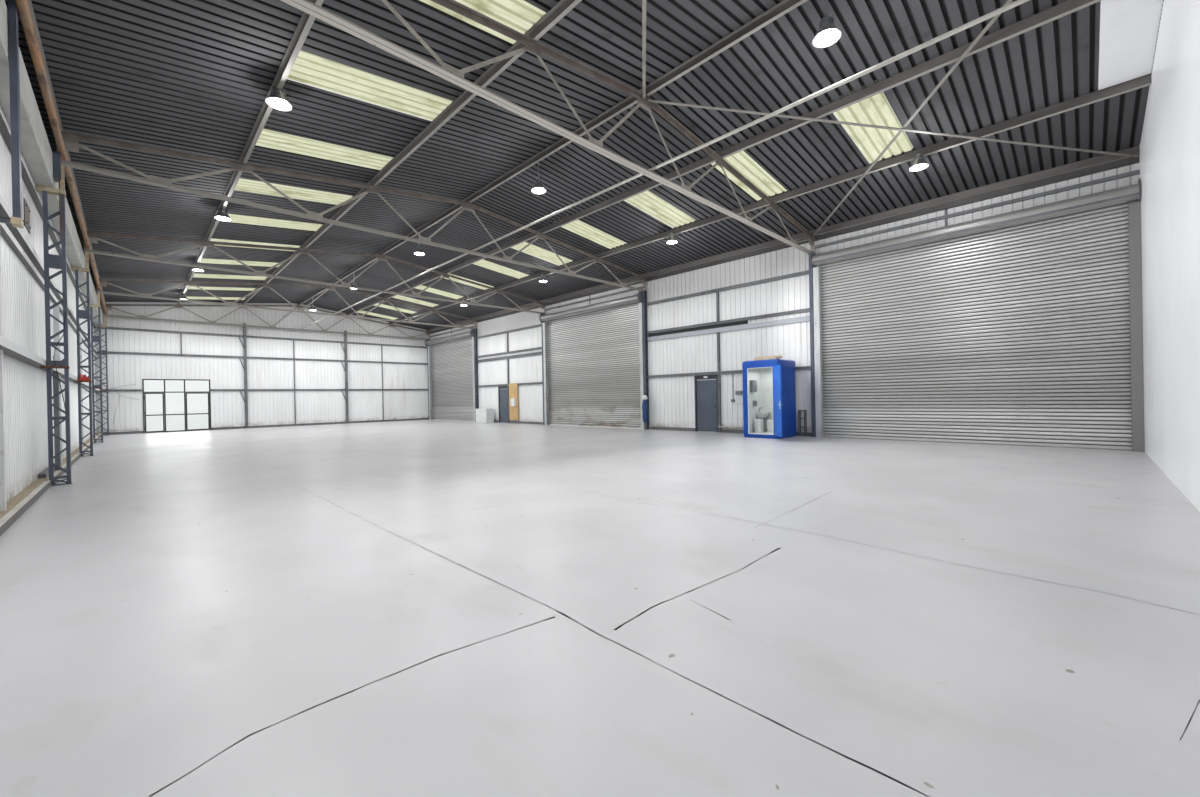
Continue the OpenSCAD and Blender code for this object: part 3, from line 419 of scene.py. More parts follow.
FINISH = {
    "floor": floor_paint(),
    "roof": roof_sheet_cement(),
    "rooflight": rooflight_sheet(),
    "wall": wall_sheet(),
    "lining": smooth_lining(),
    "slats": galvanised_slats(),
    "truss": truss_paint(),
    "glass": clear_glass(),
    "glow": lamp_glow(),
    "plywood": plywood(),
    "kerb": kerb_concrete(),
    "purlin": purlin_paint(),
    "guide": guide_zinc(),
    "white steel": rail_white(),
    "stanchion": varied("blue-grey gloss paint", "#454B58", "#525866", 500, 0.42, dirt="#6F6E6E",
                       dirt_from=0.6),
    "eaves steel": varied("dark eaves paint", "#3F3D3E", "#4A4848", 600, 0.6, dirt="#5E5A55", dirt_from=0.6,
                          stretch=(4, 1, 1)),
    "bracing": varied("dull galvanised flat", "#8F8B85", "#7F7B75", 400, 0.5, metallic=0.2, dirt="#625C55"),
    "rail": varied("dark rail paint", "#5E6064", "#6D6F73", 500, 0.55, dirt="#3E3C3B", dirt_from=0.55,
                   stretch=(3, 3, 1)),
    "pale steel": varied("pale tube paint", "#A7A49D", "#B9B6AF", 300, 0.5, dirt="#7D7367"),
    "rust": varied("rusty pipe", "#8A7460", "#9C7350", 260, 0.75, grit_mm=6, depth_mm=0.8, dirt="#5C4A3D",
                   dirt_from=0.52, stretch=(5, 1, 1)),
    "rusty plate": varied("rusted plate", "#6A4232", "#7D5238", 60, 0.8, grit_mm=4, depth_mm=0.6,
                          dirt="#3E2B24"),
    "packing": varied("weathered timber", "#B9AC92", "#A3967C", 120, 0.8, dirt="#6E6152"),
    "precast": varied("precast concrete", "#B1B2AE", "#A5A6A2", 700, 0.8, grit_mm=16, depth_mm=1.2,
                      dirt="#8A8881", dirt_from=0.6),
    "zinc": varied("galvanised trim", "#9C9E9F", "#AEB0B0", 160, 0.42, metallic=0.5, dirt="#7F7C76"),
    "trim": varied("grey trim paint", "#6A6E72", "#787C80", 700, 0.5, dirt="#575654"),
    "door": varied("slate blue door paint", "#4A5360", "#545D6A", 700, 0.4, grit_mm=2, depth_mm=0.1),
    "door frame": varied("dark door frame paint", "#33373F", "#3C4048", 400, 0.42, grit_mm=2, depth_mm=0.1),
    "roll": varied("zinc on the rolled curtain", "#9B9A99", "#A8A7A5", 600, 0.42, metallic=0.5,
                   dirt="#83807B", dirt_from=0.6, stretch=(9, 1, 1)),
    "ledge": varied("pale grey ledge paint", "#A0A4AC", "#B0B3BA", 600, 0.5, dirt="#85827E",
                    stretch=(4, 1, 1)),
    "brown plate": varied("bare brown plate", "#3B3632", "#48423D", 120, 0.6, dirt="#2E2722"),
    # the lever's pale colour is partly its steel and partly a painted highlight for the glints of chrome
    "satin steel": varied("satin steel lever", "#DADCDD", "#E6E8E9", 40, 0.45, metallic=0.35, depth_mm=0.02),
    "frame black": varied("black powder coat", "#202225", "#2A2C30", 300, 0.45, grit_mm=1.5, depth_mm=0.1),
    "lamp": varied("spun aluminium", "#B4B6B8", "#C4C6C8", 80, 0.35, metallic=0.9),
    "blue": varied("blue moulded plastic", "#003E94", "#00469F", 500, 0.42, grit_mm=4, depth_mm=0.15,
                   dirt="#06245E", dirt_from=0.66),
    "leaf blue": varied("light blue moulded plastic", "#0054B4", "#0660C0", 400, 0.42, grit_mm=4,
                        depth_mm=0.15),
    "white plastic": varied("white moulded plastic", "#CFD3D3", "#DADEDE", 200, 0.35, dirt="#BDC0BE",
                            dirt_from=0.64),
    "cabin white": varied("white cabin lining", "#D3D8D6", "#DBDFDD", 700, 0.4, depth_mm=0.05),
    "grey plastic": varied("grey moulded plastic", "#6F7478", "#7E8387", 100, 0.4),
    "dark plastic": varied("black cable sheath", "#1E2023", "#2A2C2E", 60, 0.5),
    "joint": varied("open floor joint", "#8A857E", "#A6A19A", 60, 0.9, grit_mm=5, depth_mm=0.05),
    "blue cloth": varied("blue cloth", "#27406E", "#32507F", 60, 0.85, grit_mm=5, depth_mm=0.8),
    "red plastic": varied("red moulded plastic", "#A8322C", "#B83E36", 60, 0.4),
    "bolt": varied("painted bolt head", "#5C5A58", "#706E6B", 30, 0.55, dirt="#6B4A38", dirt_from=0.6),
}

NODE_FINISH = {
    "floor": ["floor_slab"],
    "kerb": ["side_kerb"],
    "stanchion": ["stanchions_left", "stanchions_right"],
    "packing": ["stanchion_heads"],
    "truss": ["truss_1", "truss_2", "truss_3", "truss_4", "truss_5"],
    "bracing": ["wind_bracing"],
    "purlin": ["purlins"],
    "eaves steel": ["eaves_beams"],
    "rust": ["eaves_pipe"],
    "pale steel": ["tie_tube"],
    "trim": ["roof_trims", "rainwater_pipes"],
    "white steel": ["side_wall_framing"],
    "precast": ["precast_eaves_beam"],
    "rail": ["shutter_wall_framing", "shutter_lintels", "end_wall_framing"],
    "guide": ["shutter_guides"],
    "door": ["side_door_near", "side_door_far"],
    "door frame": ["door_frames"],
    "frame black": ["screen_frame"],
    "glass": ["screen_glass"],
    "lining": ["gable_lining"],
    "lamp": ["lamps"],
}


def dress_nodes():
    for finish, names in NODE_FINISH.items():
        for name in names:
            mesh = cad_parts[name].data
            mesh.materials.clear()
            mesh.materials.append(FINISH[finish])


# Mesh helpers

def moved(origin, points):
    return [Vector(origin) + Vector(point) for point in points]


def add_box(bm, low, high):
    low = Vector(low)
    size = Vector(high) - low
    place = Matrix.Translation(low + size / 2) @ Matrix.Diagonal((*size, 1))
    return bmesh.ops.create_cube(bm, size=1, matrix=place)["verts"]


def add_boxes(bm, origin, boxes):
    """Boxes given by their low and high corners, measured from the origin."""
    for corners in boxes:
        add_box(bm, *moved(origin, corners))


def bridge(bm, a, b, closed=True):
    """Faces between two rows of verts with the same count; they run round where closed."""
    count = len(a)
    for k in range(count if closed else count - 1):
        bm.faces.new((a[k], a[(k + 1) % count], b[(k + 1) % count], b[k]))


def add_loft(bm, rings):
    """Closed solid through rings of points that all have the same count."""
    made = [[bm.verts.new(p) for p in ring] for ring in rings]
    for a, b in zip(made, made[1:]):
        bridge(bm, a, b)
    bm.faces.new(made[0])
    bm.faces.new(made[-1])


def add_tunnel(bm, lines, closed):
    """Four lines of points joined into a wall or a sheet; its ends are shut if it doesn't run round."""
    verts = [[bm.verts.new(p) for p in line] for line in lines]
    for k in range(4):
        bridge(bm, verts[k], verts[(k + 1) % 4], closed)
    if not closed:
        bm.faces.new([line[0] for line in verts])
        bm.faces.new([line[-1] for line in verts])


def turn_to(direction):
    """The turn that points Z along a direction."""
    return Vector(direction).to_track_quat("Z", "Y").to_matrix()


def circle(radius, sides, centre=(0, 0, 0), turn=None):
    points = []
    for k in range(sides):
        angle = 2 * math.pi * k / sides
        point = Vector((radius * math.cos(angle), radius * math.sin(angle), 0))
        points.append(Vector(centre) + (turn @ point if turn else point))
    return points


def add_tube(bm, path, radius, sides=8):
    """Round bar that follows a list of points, closed at both ends."""
    points = [Vector(p) for p in path]
    rings = []
    for i, point in enumerate(points):
        ahead = points[min(i + 1, len(points) - 1)] - points[max(i - 1, 0)]
        rings.append(circle(radius, sides, point, turn_to(ahead)))
    add_loft(bm, rings)


def add_barrel(bm, foot):
    add_tube(bm, moved(foot, ((0, 0, 0), (0, 0, BARREL))), PIN_R, 12)


def add_bolt(bm, place, out, across=0.019, height=0.012, washer=0.015):
    """Hexagon head on a washer; out is the direction that it points, of length 1."""
    turn = turn_to(out)
    place = Vector(place)
    out = Vector(out)
    face = place + out * 0.003
    add_loft(bm, [circle(washer, 10, place, turn), circle(washer, 10, face, turn)])
    add_loft(bm, [circle(across / 2, 6, face, turn), circle(across / 2, 6, place + out * height, turn)])


CORNER_STEPS = 6


def rounded(x_a, y_a, x_b, y_b, radius):
    """Plan outline of a rectangle with round corners, anticlockwise from its low corner."""
    points = []
    corners = ((x_a + radius, y_a + radius, 180), (x_b - radius, y_a + radius, 270),
               (x_b - radius, y_b - radius, 0), (x_a + radius, y_b - radius, 90))
    for x, y, start in corners:
        for k in range(CORNER_STEPS + 1):
            angle = math.radians(start + 90 * k / CORNER_STEPS)
            points.append((x + radius * math.cos(angle), y + radius * math.sin(angle)))
    return points


def at_height(outline, z):
    return [(x, y, z) for x, y in outline]


def add_moulding(bm, origin, layers):
    """Solid through round-cornered plans; a layer is x, y, x, y, corner radius and height."""
    x, y, z = origin
    add_loft(bm, [at_height(rounded(x + x_a, y + y_a, x + x_b, y + y_b, radius), z + up)
                  for x_a, y_a, x_b, y_b, radius, up in layers])


def add_ring(bm, outer, inner, z_a, z_b, closed=True):
    """Wall between two plan outlines with the same count of points; open at its ends if not closed."""
    lines = [at_height(outer, z_a), at_height(inner, z_a), at_height(inner, z_b), at_height(outer, z_b)]
    add_tunnel(bm, lines, closed)


def add_shell(bm, start, end, offset):
    """Thin closed sheet between two lines of points, with its second skin at offset."""
    add_tunnel(bm, [start, end, moved(offset, end), moved(offset, start)], False)


def piece(name, bm, finish, slot, body=HALL, stands_for=(), smooth=None, bevel=None):
    """Makes the object from its mesh, gives it its finish and lets it ride on its body."""
    bmesh.ops.recalc_face_normals(bm, faces=bm.faces)
    mesh = bpy.data.meshes.new(name)
    bm.to_mesh(mesh)
    bm.free()
    made = bpy.data.objects.new(name, mesh)
    bpy.context.collection.objects.link(made)
    mesh.materials.append(FINISH[finish])
    if smooth:
        mesh.shade_smooth()
        mesh.set_sharp_from_angle(angle=math.radians(smooth))
    if bevel:
        edges = made.modifiers.new("rounded edges", "BEVEL")
        edges.width = bevel
        edges.segments = 2
        edges.limit_method = "ANGLE"
    if stands_for:
        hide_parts(*stands_for)
    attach(made, body)


def box_piece(name, origin, boxes, finish, slot, **more):
    bm = bmesh.new()
    add_boxes(bm, origin, boxes)
    piece(name, bm, finish, slot, **more)


def repeat(points, pitch, start, end):
    """Breakpoints of a repeated profile of (distance, depth) points between start and end."""
    first = math.floor(start / pitch) - 1
    last = math.ceil(end / pitch) + 1
    line = [(k * pitch + u, d) for k in range(first, last) for u, d in points]

    def depth(at):
        for (u0, d0), (u1, d1) in zip(line, line[1:]):
            if u0 <= at <= u1:
                return d0 + (d1 - d0) * (at - u0) / (u1 - u0)

    inside = [(u, d) for u, d in line if start < u < end]
    return [(start, depth(start))] + inside + [(end, depth(end))]


# Roof

ROOF_SKIN = 0.006
ROOF_CREST = 0.043 + ROOF_SKIN
ROOF_PROFILE = ((0.0, 0.004), (0.03, 0.0), (0.13, 0.0), (0.148, 0.004), (0.16, 0.043), (0.193, 0.043))
LIGHT_SKIN = 0.003
LIGHT_PROFILE = ((0.0, 0.02), (0.06, 0.016), (0.13, 0.016), (0.148, 0.02), (0.16, 0.026), (0.193, 0.026))
LAP = 0.06
LAP_LIFT = 0.007
ROOF_ROWS = ((0.004, PANEL + LAP), (PANEL - LAP, 2 * PANEL + LAP), (2 * PANEL - LAP, ROOF_REACH))


def roof_point(side, x, y, z):
    """A point at height z over the purlin tops, y from the ridge."""
    return Vector((x, side * (y - z * math.sin(PITCH)), chord_z(y) + SHEET_Z0 * RUN + z * math.cos(PITCH)))


def roof_strip(bm, side, x_a, x_b, row, skin=ROOF_SKIN, profile=ROOF_PROFILE):
    """One row of sheets; all but the lowest row are lifted at their foot by the sheet that they lap over."""
    y_a, y_b = row
    lift = 0 if row == ROOF_ROWS[-1] else LAP_LIFT
    line = repeat(profile, SHEET_PITCH, x_a, x_b)
    start = [roof_point(side, x, y_a, z) for x, z in line]
    end = [roof_point(side, x, y_b, z + lift) for x, z in line]
    add_shell(bm, start, end, (0, 0, skin))


def roof_sheeting():
    edges = [-GABLE_X]
    for k in range(LIGHTS):
        edges += [light_x(k) - LIGHT_W / 2, light_x(k) + LIGHT_W / 2]
    edges.append(GABLE_X)
    for side, word in ((1, "left"), (-1, "right")):
        bm = bmesh.new()
        roof_strip(bm, side, -GABLE_X, GABLE_X, ROOF_ROWS[0])
        roof_strip(bm, side, -GABLE_X, GABLE_X, ROOF_ROWS[2])
        for x_a, x_b in zip(edges[::2], edges[1::2]):
            roof_strip(bm, side, x_a, x_b, ROOF_ROWS[1])
        piece(f"roof_sheeting_{word}", bm, "roof", "fibre_cement", stands_for=[f"roof_sheets_{word}"])


def rooflight_panels():
    bm = bmesh.new()
    half = LIGHT_W / 2 - EDGE
    for side in (1, -1):
        for k in range(LIGHTS):
            x = light_x(k)
            roof_strip(bm, side, x - half, x + half, ROOF_ROWS[1], LIGHT_SKIN, LIGHT_PROFILE)
    piece("rooflight_panels", bm, "rooflight", "translucent_sheet", stands_for=["rooflights"])


# Walls

WALL_SKIN = 0.0015
WALL_PROFILE = ((0.0, 0.0), (0.080, 0.0), (0.083, 0.002), (0.086, 0.0), (0.160, 0.0), (0.168, 0.02),
                (0.192, 0.02))
WALL_PITCH = 0.2
SIDE_TOP_CLEAR = 0.002
GABLE_TOP_CLEAR = 0.004


def wall_top(y):
    return chord_z(y + CLAD) + SHEET_Z0 * RUN - SIDE_TOP_CLEAR


def gable_top(y):
    return chord_z(y) + SHEET_Z0 * RUN - GABLE_TOP_CLEAR


def side_strip(bm, face, outward, start, end, low, high):
    """Ribbed sheet that runs along X, in the plane at face, from low to high."""
    line = [(u, face + outward * d) for u, d in repeat(WALL_PROFILE, WALL_PITCH, start, end)]
    add_shell(bm, at_height(line, low), at_height(line, high), (0, outward * WALL_SKIN, 0))


def gable_strip(bm, face, outward, start, end, low):
    """Ribbed sheet that runs along Y, from low up to the roof."""
    line = [(face + outward * d, u) for u, d in repeat(WALL_PROFILE, WALL_PITCH, start, end)]
    add_shell(bm, at_height(line, low), [(x, y, gable_top(y)) for x, y in line], (outward * WALL_SKIN, 0, 0))


def side_wall_sheeting():
    bm = bmesh.new()
    end = GABLE_X - EDGE
    side_strip(bm, SIDE_WALL_Y, 1, -end, end, FLOOR + SEAT, wall_top(SIDE_WALL_Y))
    piece("side_wall_sheeting", bm, "wall", "white_sheeting", stands_for=["side_wall_sheets"])


def shutter_wall_sheeting():
    bm = bmesh.new()
    corner = GABLE_X - EDGE
    top = wall_top(SHUTTER_WALL_Y)
    head = FLOOR + SHUTTER_H
    under_head = head - 0.0004

    def strip(start, end, low, high=top):
        side_strip(bm, -SHUTTER_WALL_Y, -1, start, end, low, high)

    for i in (0, 2, 4):
        start = -corner if i == 0 else frame_x(i) + SIDE_GAP
        end = corner if i == 4 else frame_x(i + 1) - SIDE_GAP
        strip(start, end, head)
    strip(shutter_span(4)[1], corner, FLOOR, under_head)
    strip(-corner, shutter_span(0)[0], FLOOR, under_head)
    for bay, door in zip((1, 3), DOOR_XS):
        near = door - 0.004
        far = door + DOOR_W + 0.13
        strip(frame_x(bay) - SIDE_GAP, near, FLOOR)
        strip(near, far, FLOOR + DOOR_FRAME_TOP)
        strip(far, frame_x(bay + 1) + SIDE_GAP, FLOOR)
    piece("shutter_wall_sheeting", bm, "wall", "white_sheeting", stands_for=["shutter_wall_sheets"])


def end_wall_sheeting():
    bm = bmesh.new()
    face = X_FAR + 0.01
    screen_a = SCREEN_Y[3] - SCREEN_OVER - 0.002
    screen_b = SCREEN_Y[0] + SCREEN_OVER + 0.002
    strips = ((EDGE - SHUTTER_WALL_Y, 0, FLOOR), (0, screen_a, FLOOR), (screen_a, screen_b, FLOOR + SCREEN_H),
              (screen_b, SIDE_WALL_Y - EDGE, FLOOR))
    for start, end, low in strips:
        gable_strip(bm, face, 1, start, end, low)
    piece("end_wall_sheeting", bm, "wall", "white_sheeting", stands_for=["end_wall_sheets"])


def near_gable():
    """Smooth lining inside, and ribbed sheeting outside of the plain gable wall."""
    lining = 0.03
    face = 0.036 - GABLE_X
    left = SIDE_WALL_Y - EDGE
    right = EDGE - SHUTTER_WALL_Y
    outline = [(right, FLOOR), (left, FLOOR)] + [(y, gable_top(y)) for y in (left, 0, right)]
    bm = bmesh.new()
    add_loft(bm, [[(x, y, z) for y, z in outline] for x in (X_NEAR - lining, X_NEAR)])
    piece("near_gable_lining", bm, "lining", "white_lining", stands_for=["near_gable_wall"])
    bm = bmesh.new()
    for start, end in ((right, 0), (0, left)):
        gable_strip(bm, face, -1, start, end, FLOOR)
    piece("near_gable_sheeting", bm, "wall", "white_sheeting")


def gable_closers():
    """Dark foam closers in the row of small gaps between the near gable and the sheets over it."""
    bm = bmesh.new()
    pitch = 0.1
    closer = ((0.0005, -0.03, -0.03), (0.006, 0.03, -0.012))
    for side in (1, -1):
        for k in range(2, 82):
            y = (k + 0.5) * pitch
            add_boxes(bm, (X_NEAR, side * y, chord_z(y) + (SHEET_Z0 - 0.021) * RUN), [closer])
    piece("gable_closers", bm, "dark plastic", "white_lining")


# Shutters

SLAT_SKIN = 0.0012
SLAT_INSET = 0.02
CHEEK = 0.02
SLAT_PROFILE = ((0.0, 0.006), (0.10, 0.018), (0.28, 0.0235), (0.50, 0.024), (0.70, 0.022), (0.86, 0.016),
                (0.96, 0.004))
TURN_PROFILE = ((0.0, 0.016), (0.05, 0.014), (0.09, 0.003), (0.25, 0.0005), (0.5, 0.0), (0.82, 0.0015),
                (0.95, 0.004))
SLATS_ROUND = 11


def shutter_slats():
    """Interlocking curved slats over a heavier bottom bar; two shutters stop just short of the floor."""
    bm = bmesh.new()
    back = -SHUTTER_WALL_Y + 0.02
    line = [(back + d - SLAT_SKIN, SLATS_FROM + (k + h) * SLAT)
            for k in range(int(SHUTTER_H // SLAT)) for h, d in SLAT_PROFILE]
    for i in (0, 2, 4):
        near, far = shutter_span(i)
        near += SLAT_INSET
        far -= SLAT_INSET
        add_shell(bm, [(near, y, z) for y, z in line], [(far, y, z) for y, z in line], (0, SLAT_SKIN, 0))
        gap = 0.0 if i == 0 else 0.022
        add_box(bm, (near, back - 0.005, FLOOR + gap), (far, back + 0.035, FLOOR + 0.03 + gap / 4))
        add_box(bm, (near, back + 0.004, FLOOR + 0.03), (far, back + 0.026, FLOOR + 0.094))
    piece("shutter_slats", bm, "slats", "galvanised_steel", stands_for=["shutter_curtains"])


def curtain_rolls():
    """Above each shutter the rest of its curtain, slat on slat round the drum, between two cheek plates."""
    axis = Vector((0, -SHUTTER_WALL_Y + 0.083 + ROLL_R, FLOOR + SHUTTER_H + 0.04))
    ring = []
    for k in range(SLATS_ROUND):
        for share, depth in TURN_PROFILE:
            angle = 2 * math.pi * (k + share) / SLATS_ROUND
            ring.append(((ROLL_R - depth) * math.cos(angle), (ROLL_R - depth) * math.sin(angle)))
    wall = -ROLL_R - 0.009
    cheek = ((wall, -0.22), (0.12, -0.22), (0.205, -0.09), (0.205, 0.12), (0.09, 0.26), (wall, 0.26))
    rolls = bmesh.new()
    cheeks = bmesh.new()

    def add_plate(bm, outline, x_a, x_b):
        add_loft(bm, [moved(axis, [(x, u, v) for u, v in outline]) for x in (x_a, x_b)])

    for i in (0, 2, 4):
        near, far = shutter_span(i)
        near += 0.01
        far -= 0.01
        add_plate(rolls, ring, near + 0.01, far - 0.01)
        add_plate(cheeks, cheek, near, near + CHEEK)
        add_plate(cheeks, cheek, far - CHEEK, far)
        for x, out in ((near + CHEEK, 1), (far - CHEEK, -1)):
            add_loft(cheeks, [circle(0.05, 16, axis + Vector((x + out * d, 0, 0)), turn_to((1, 0, 0)))
                              for d in (-0.021, -0.03)])
        tie = ((near + CHEEK, ROLL_R + 0.006, -0.13), (far - CHEEK, ROLL_R + 0.018, -0.075))
        add_boxes(cheeks, axis, [tie])
    piece("curtain_rolls", rolls, "roll", "galvanised_steel", stands_for=["shutter_rolls"], smooth=25)
    piece("roll_cheek_plates", cheeks, "rail", "dark_steel", bevel=0.002)


def ledge_facings():
    """Pale blue-grey face of the ledge in the near door bay, and a black strip of painted shade under the
    rail over it.
    """
    origin = (frame_x(1), -SHUTTER_WALL_Y, FLOOR + RAIL_MID - 0.36)
    far = BAY - 0.09
    box_piece("ledge_facing", origin, [((0.09, 0.07, 0), (far, 0.0715, 0.17))], "ledge", "dark_steel")
    # painted shade: a black strip that stands in for the shade between the ledge and the rail
    box_piece("painted_shade_over_ledge", origin, [((2.35, 0.002, 0.172), (far, 0.02, 0.303))],
              "frame black", "dark_steel")


# Glazed screen

LEAF_FROM_POST = SCREEN_S / 2 + CLEAR
LEAF_FROM_JAMB = SCREEN_S - SCREEN_OVER + CLEAR
LEAF_FOOT = 0.075
PULL_OUT = 0.035
PULL_R = 0.0105
PULL_FOOT_R = 0.008
SCREEN_HINGES = (0.24, 1.09, 1.82)


def glazed_leaves():
    """Each leaf has a black frame with a middle rail, two panes, two pull bars and barrel hinges."""
    deep = SCREEN_D - 0.016
    x_a = X_FAR - 0.012
    x_b = x_a + deep
    low = FLOOR + CLEAR
    high = FLOOR + SCREEN_HEAD - CLEAR
    rail = FLOOR + SCREEN_RAIL
    leaves = (("left", SCREEN_Y[1] + LEAF_FROM_POST, SCREEN_Y[0] - LEAF_FROM_JAMB, 1),
              ("right", SCREEN_Y[3] + LEAF_FROM_JAMB, SCREEN_Y[2] - LEAF_FROM_POST, -1))
    for word, y_a, y_b, hand in leaves:
        inner_a = y_a + SCREEN_S
        inner_b = y_b - SCREEN_S
        bm = bmesh.new()
        for start, end in ((y_a, inner_a), (inner_b, y_b)):
            add_box(bm, (x_a, start, low), (x_b, end, high))
        for start, end in ((low, low + LEAF_FOOT), (rail, rail + SCREEN_S), (high - SCREEN_S, high)):
            add_box(bm, (x_a, inner_a, start), (x_b, inner_b, end))
        pull = y_a + SCREEN_S / 2 if hand > 0 else y_b - SCREEN_S / 2
        for face, out in ((x_a, -1), (x_b, 1)):
            bar = face + out * PULL_OUT
            add_tube(bm, [(bar, pull, rail + 0.08), (bar, pull, rail + 0.48)], PULL_R, 12)
            for z in (rail + 0.105, rail + 0.455):
                add_tube(bm, [(face, pull, z), (bar, pull, z)], PULL_FOOT_R, 10)
        pin = y_b + 0.003 if hand > 0 else y_a - 0.003
        for z in SCREEN_HINGES:
            hinge = Vector((x_b + 0.02, pin, FLOOR + z))
            add_barrel(bm, hinge)
            add_boxes(bm, hinge, [((-0.02, -hand * 0.023, 0), (0, -hand * 0.003, BARREL))])
        body = f"{word}_glazed_leaf"
        piece(f"glazed_leaf_frame_{word}", bm, "frame black", "black_aluminium", body,
              stands_for=[f"screen_leaf_{word}"], smooth=40)
        bm = bmesh.new()
        middle = x_a + deep / 2
        for start, end in ((low + LEAF_FOOT, rail), (rail + SCREEN_S, high - SCREEN_S)):
            add_box(bm, (middle - 0.003, inner_a - 0.004, start - 0.004),
                    (middle + 0.003, inner_b + 0.004, end + 0.004))
        piece(f"glazed_leaf_panes_{word}", bm, "glass", "clear_glass", body)


# Lamps: how far the mouth hangs under the chord's top, for the rows at the sides and the row under the ridge

SIDE_DROP = 0.24
RIDGE_DROP = 0.76
BOWL = ((0.172, 0.004), (0.13, -0.012), (0.06, -0.02))
RIM = (0.195, 0.176)
FINS = 12


def lamp_places():
    for i in range(BAYS):
        for k, drop in ((-2, SIDE_DROP), (0, RIDGE_DROP), (2, SIDE_DROP)):
            yield Vector((frame_x(i) + BAY / 2, k * PANEL, chord_z(k * PANEL) + CHORD_TOP - drop))


def lamp_parts():
    """In the mouth of each lamp a shallow glass bowl, round it a rolled rim and over it cooling fins."""
    lens = bmesh.new()
    metal = bmesh.new()
    for place in lamp_places():
        add_loft(lens, [circle(radius, 24, place + Vector((0, 0, z))) for radius, z in BOWL])
        outer, inner = [[(p.x, p.y) for p in circle(radius, 24, place)] for radius in RIM]
        add_ring(metal, outer, inner, place.z - 0.004, place.z + 0.008)
        middle = Matrix.Translation(place + Vector((0, 0, 0.215)))
        for k in range(FINS):
            turn = Matrix.Rotation(2 * math.pi * k / FINS, 4, "Z")
            fin = add_box(metal, (0.03, -0.002, -0.055), (0.105, 0.002, 0.05))
            bmesh.ops.transform(metal, matrix=middle @ turn, verts=fin)
        add_tube(metal, moved(place, ((0, 0, 0.2), (0, 0, 0.3))), 0.055, 16)
    piece("lamp_lenses", lens, "glow", "lamp_metal", smooth=60)
    piece("lamp_gear", metal, "lamp", "lamp_metal", smooth=40)


# Bolts

def truss_bolts():
    """A row of bolts on each face of each gusset."""
    bm = bmesh.new()
    spots = [(side * PANEL * n / 2, TIE_Z + 0.03, 0.11) for n in (1, 3, 5) for side in (1, -1)]
    spots += [(side * PANEL * n, chord_z(PANEL * n) - 0.05, 0.1) for n in (1, 2) for side in (1, -1)]
    spots += [(0, chord_z(0) - 0.07, 0.13)]
    for i in range(1, BAYS + 1):
        for y, z, spread in spots:
            for face in (1, -1):
                for k in (-1, -0.35, 0.35, 1):
                    add_bolt(bm, (truss_x(i) + face * 0.006, y + k * spread, z), (face, 0, 0))
    piece("gusset_bolts", bm, "bolt", "grey_brown_steel")


def foot_bolts():
    """Holding-down bolts between the legs of each lattice stanchion."""
    bm = bmesh.new()
    for i in range(1, BAYS + 1):
        for y in (HALF_SPAN - 0.01, HALF_SPAN + 0.14, -HALF_SPAN + 0.05, -HALF_SPAN + 0.1):
            for side in (1, -1):
                add_bolt(bm, (truss_x(i) + side * 0.026, y, FLOOR + 0.012), (0, 0, 1), 0.024, 0.02, 0.016)
    piece("foot_bolts", bm, "bolt", "blue_grey_steel")


def roof_fixings():
    """Hook bolts with their washers on the crowns of the sheets, over each purlin."""
    bm = bmesh.new()
    every = 2.5
    crown = 0.853
    seated = 0.001
    half_count = int(2 * GABLE_X / (SHEET_PITCH * every)) // 2
    rows = ((0.34, seated), (PANEL, LAP_LIFT), (2 * PANEL, LAP_LIFT), (HALF_SPAN - 0.04, seated))
    for side in (1, -1):
        for y, lift in rows:
            for k in range(-half_count, half_count):
                x = (round(k * every) + crown) * SHEET_PITCH
                if abs(x) < GABLE_X - 0.1:
                    add_bolt(bm, roof_point(side, x, y, ROOF_CREST + lift), (0, 0, 1), 0.016, 0.012, 0.02)
    piece("roof_hook_bolts", bm, "zinc", "galvanised_steel")


# Floor: each joint with its width, and the places where its edges are broken most

JOINTS = (
    (0.01, ((-7.518, 5.518), (-11.417, 5.553), (-14.354, 5.525), (-14.815, 5.554), (-15.133, 5.557),
            (-15.638, 5.563), (-16.019, 5.567), (-16.472, 5.558), (-17.5, 5.55))),
    (0.011, ((-14.467, 7.509), (-14.335, 7.193), (-14.32, 6.878), (-14.324, 6.325), (-14.434, 5.59))),
    (0.014, ((-14.838, 5.448), (-14.8, 5.067), (-14.845, 4.542), (-14.886, 4.032), (-14.874, 3.283))),
    (0.009, ((-14.384, 2.819), (-14.342, 1.577), (-14.279, 0.209))),
    (0.009, ((-11.843, 2.636), (-12.399, 2.699), (-13.553, 2.605), (-15.082, 2.633), (-16.134, 2.736),
             (-16.922, 2.74), (-17.35, 2.82))),
    (0.008, ((-11.192, 5.18), (-11.28, 4.436), (-11.443, 3.067), (-11.203, 2.236))),
    (0.008, ((-14.922, 4.78), (-15.278, 4.856))),
    (0.004, ((-17.12, 4.545), (-17.216, 4.101))),
    (0.003, ((-7.518, 5.518), (-4.1, 5.46), (0.4, 5.52), (5.2, 5.48), (11.6, 5.5), (17.6, 5.5))),
    (0.003, ((-11.2, -0.2), (-4.6, -0.26), (3.1, -0.18), (10.4, -0.22), (17.6, -0.2))),
    (0.003, ((-3.6, 8.5), (-3.55, 3.2), (-3.6, -2.6), (-3.56, -8.2))),
    (0.003, ((3.5, 8.5), (3.55, 2.2), (3.5, -4.6), (3.55, -8.2))),
    (0.003, ((10.6, 8.5), (10.65, 3.1), (10.6, -3.6), (10.64, -8.2))),
)
SPALLS = ((-14.79, 5.5), (-14.81, 5.1), (-14.42, 5.56), (-14.33, 6.33), (-14.88, 3.35))
JOINT_STEP = 0.09
JOINT_RISE = 0.0009
JOINT_T = 0.0007
SPALL_REACH = 0.14
SPALL_SPREAD = 0.07
CHIPS = 150
CHIP_SIZES = (0.004, 0.006, 0.008, 0.01, 0.018)
CHIP_RISE = 0.0005
CHIP_T = 0.0004


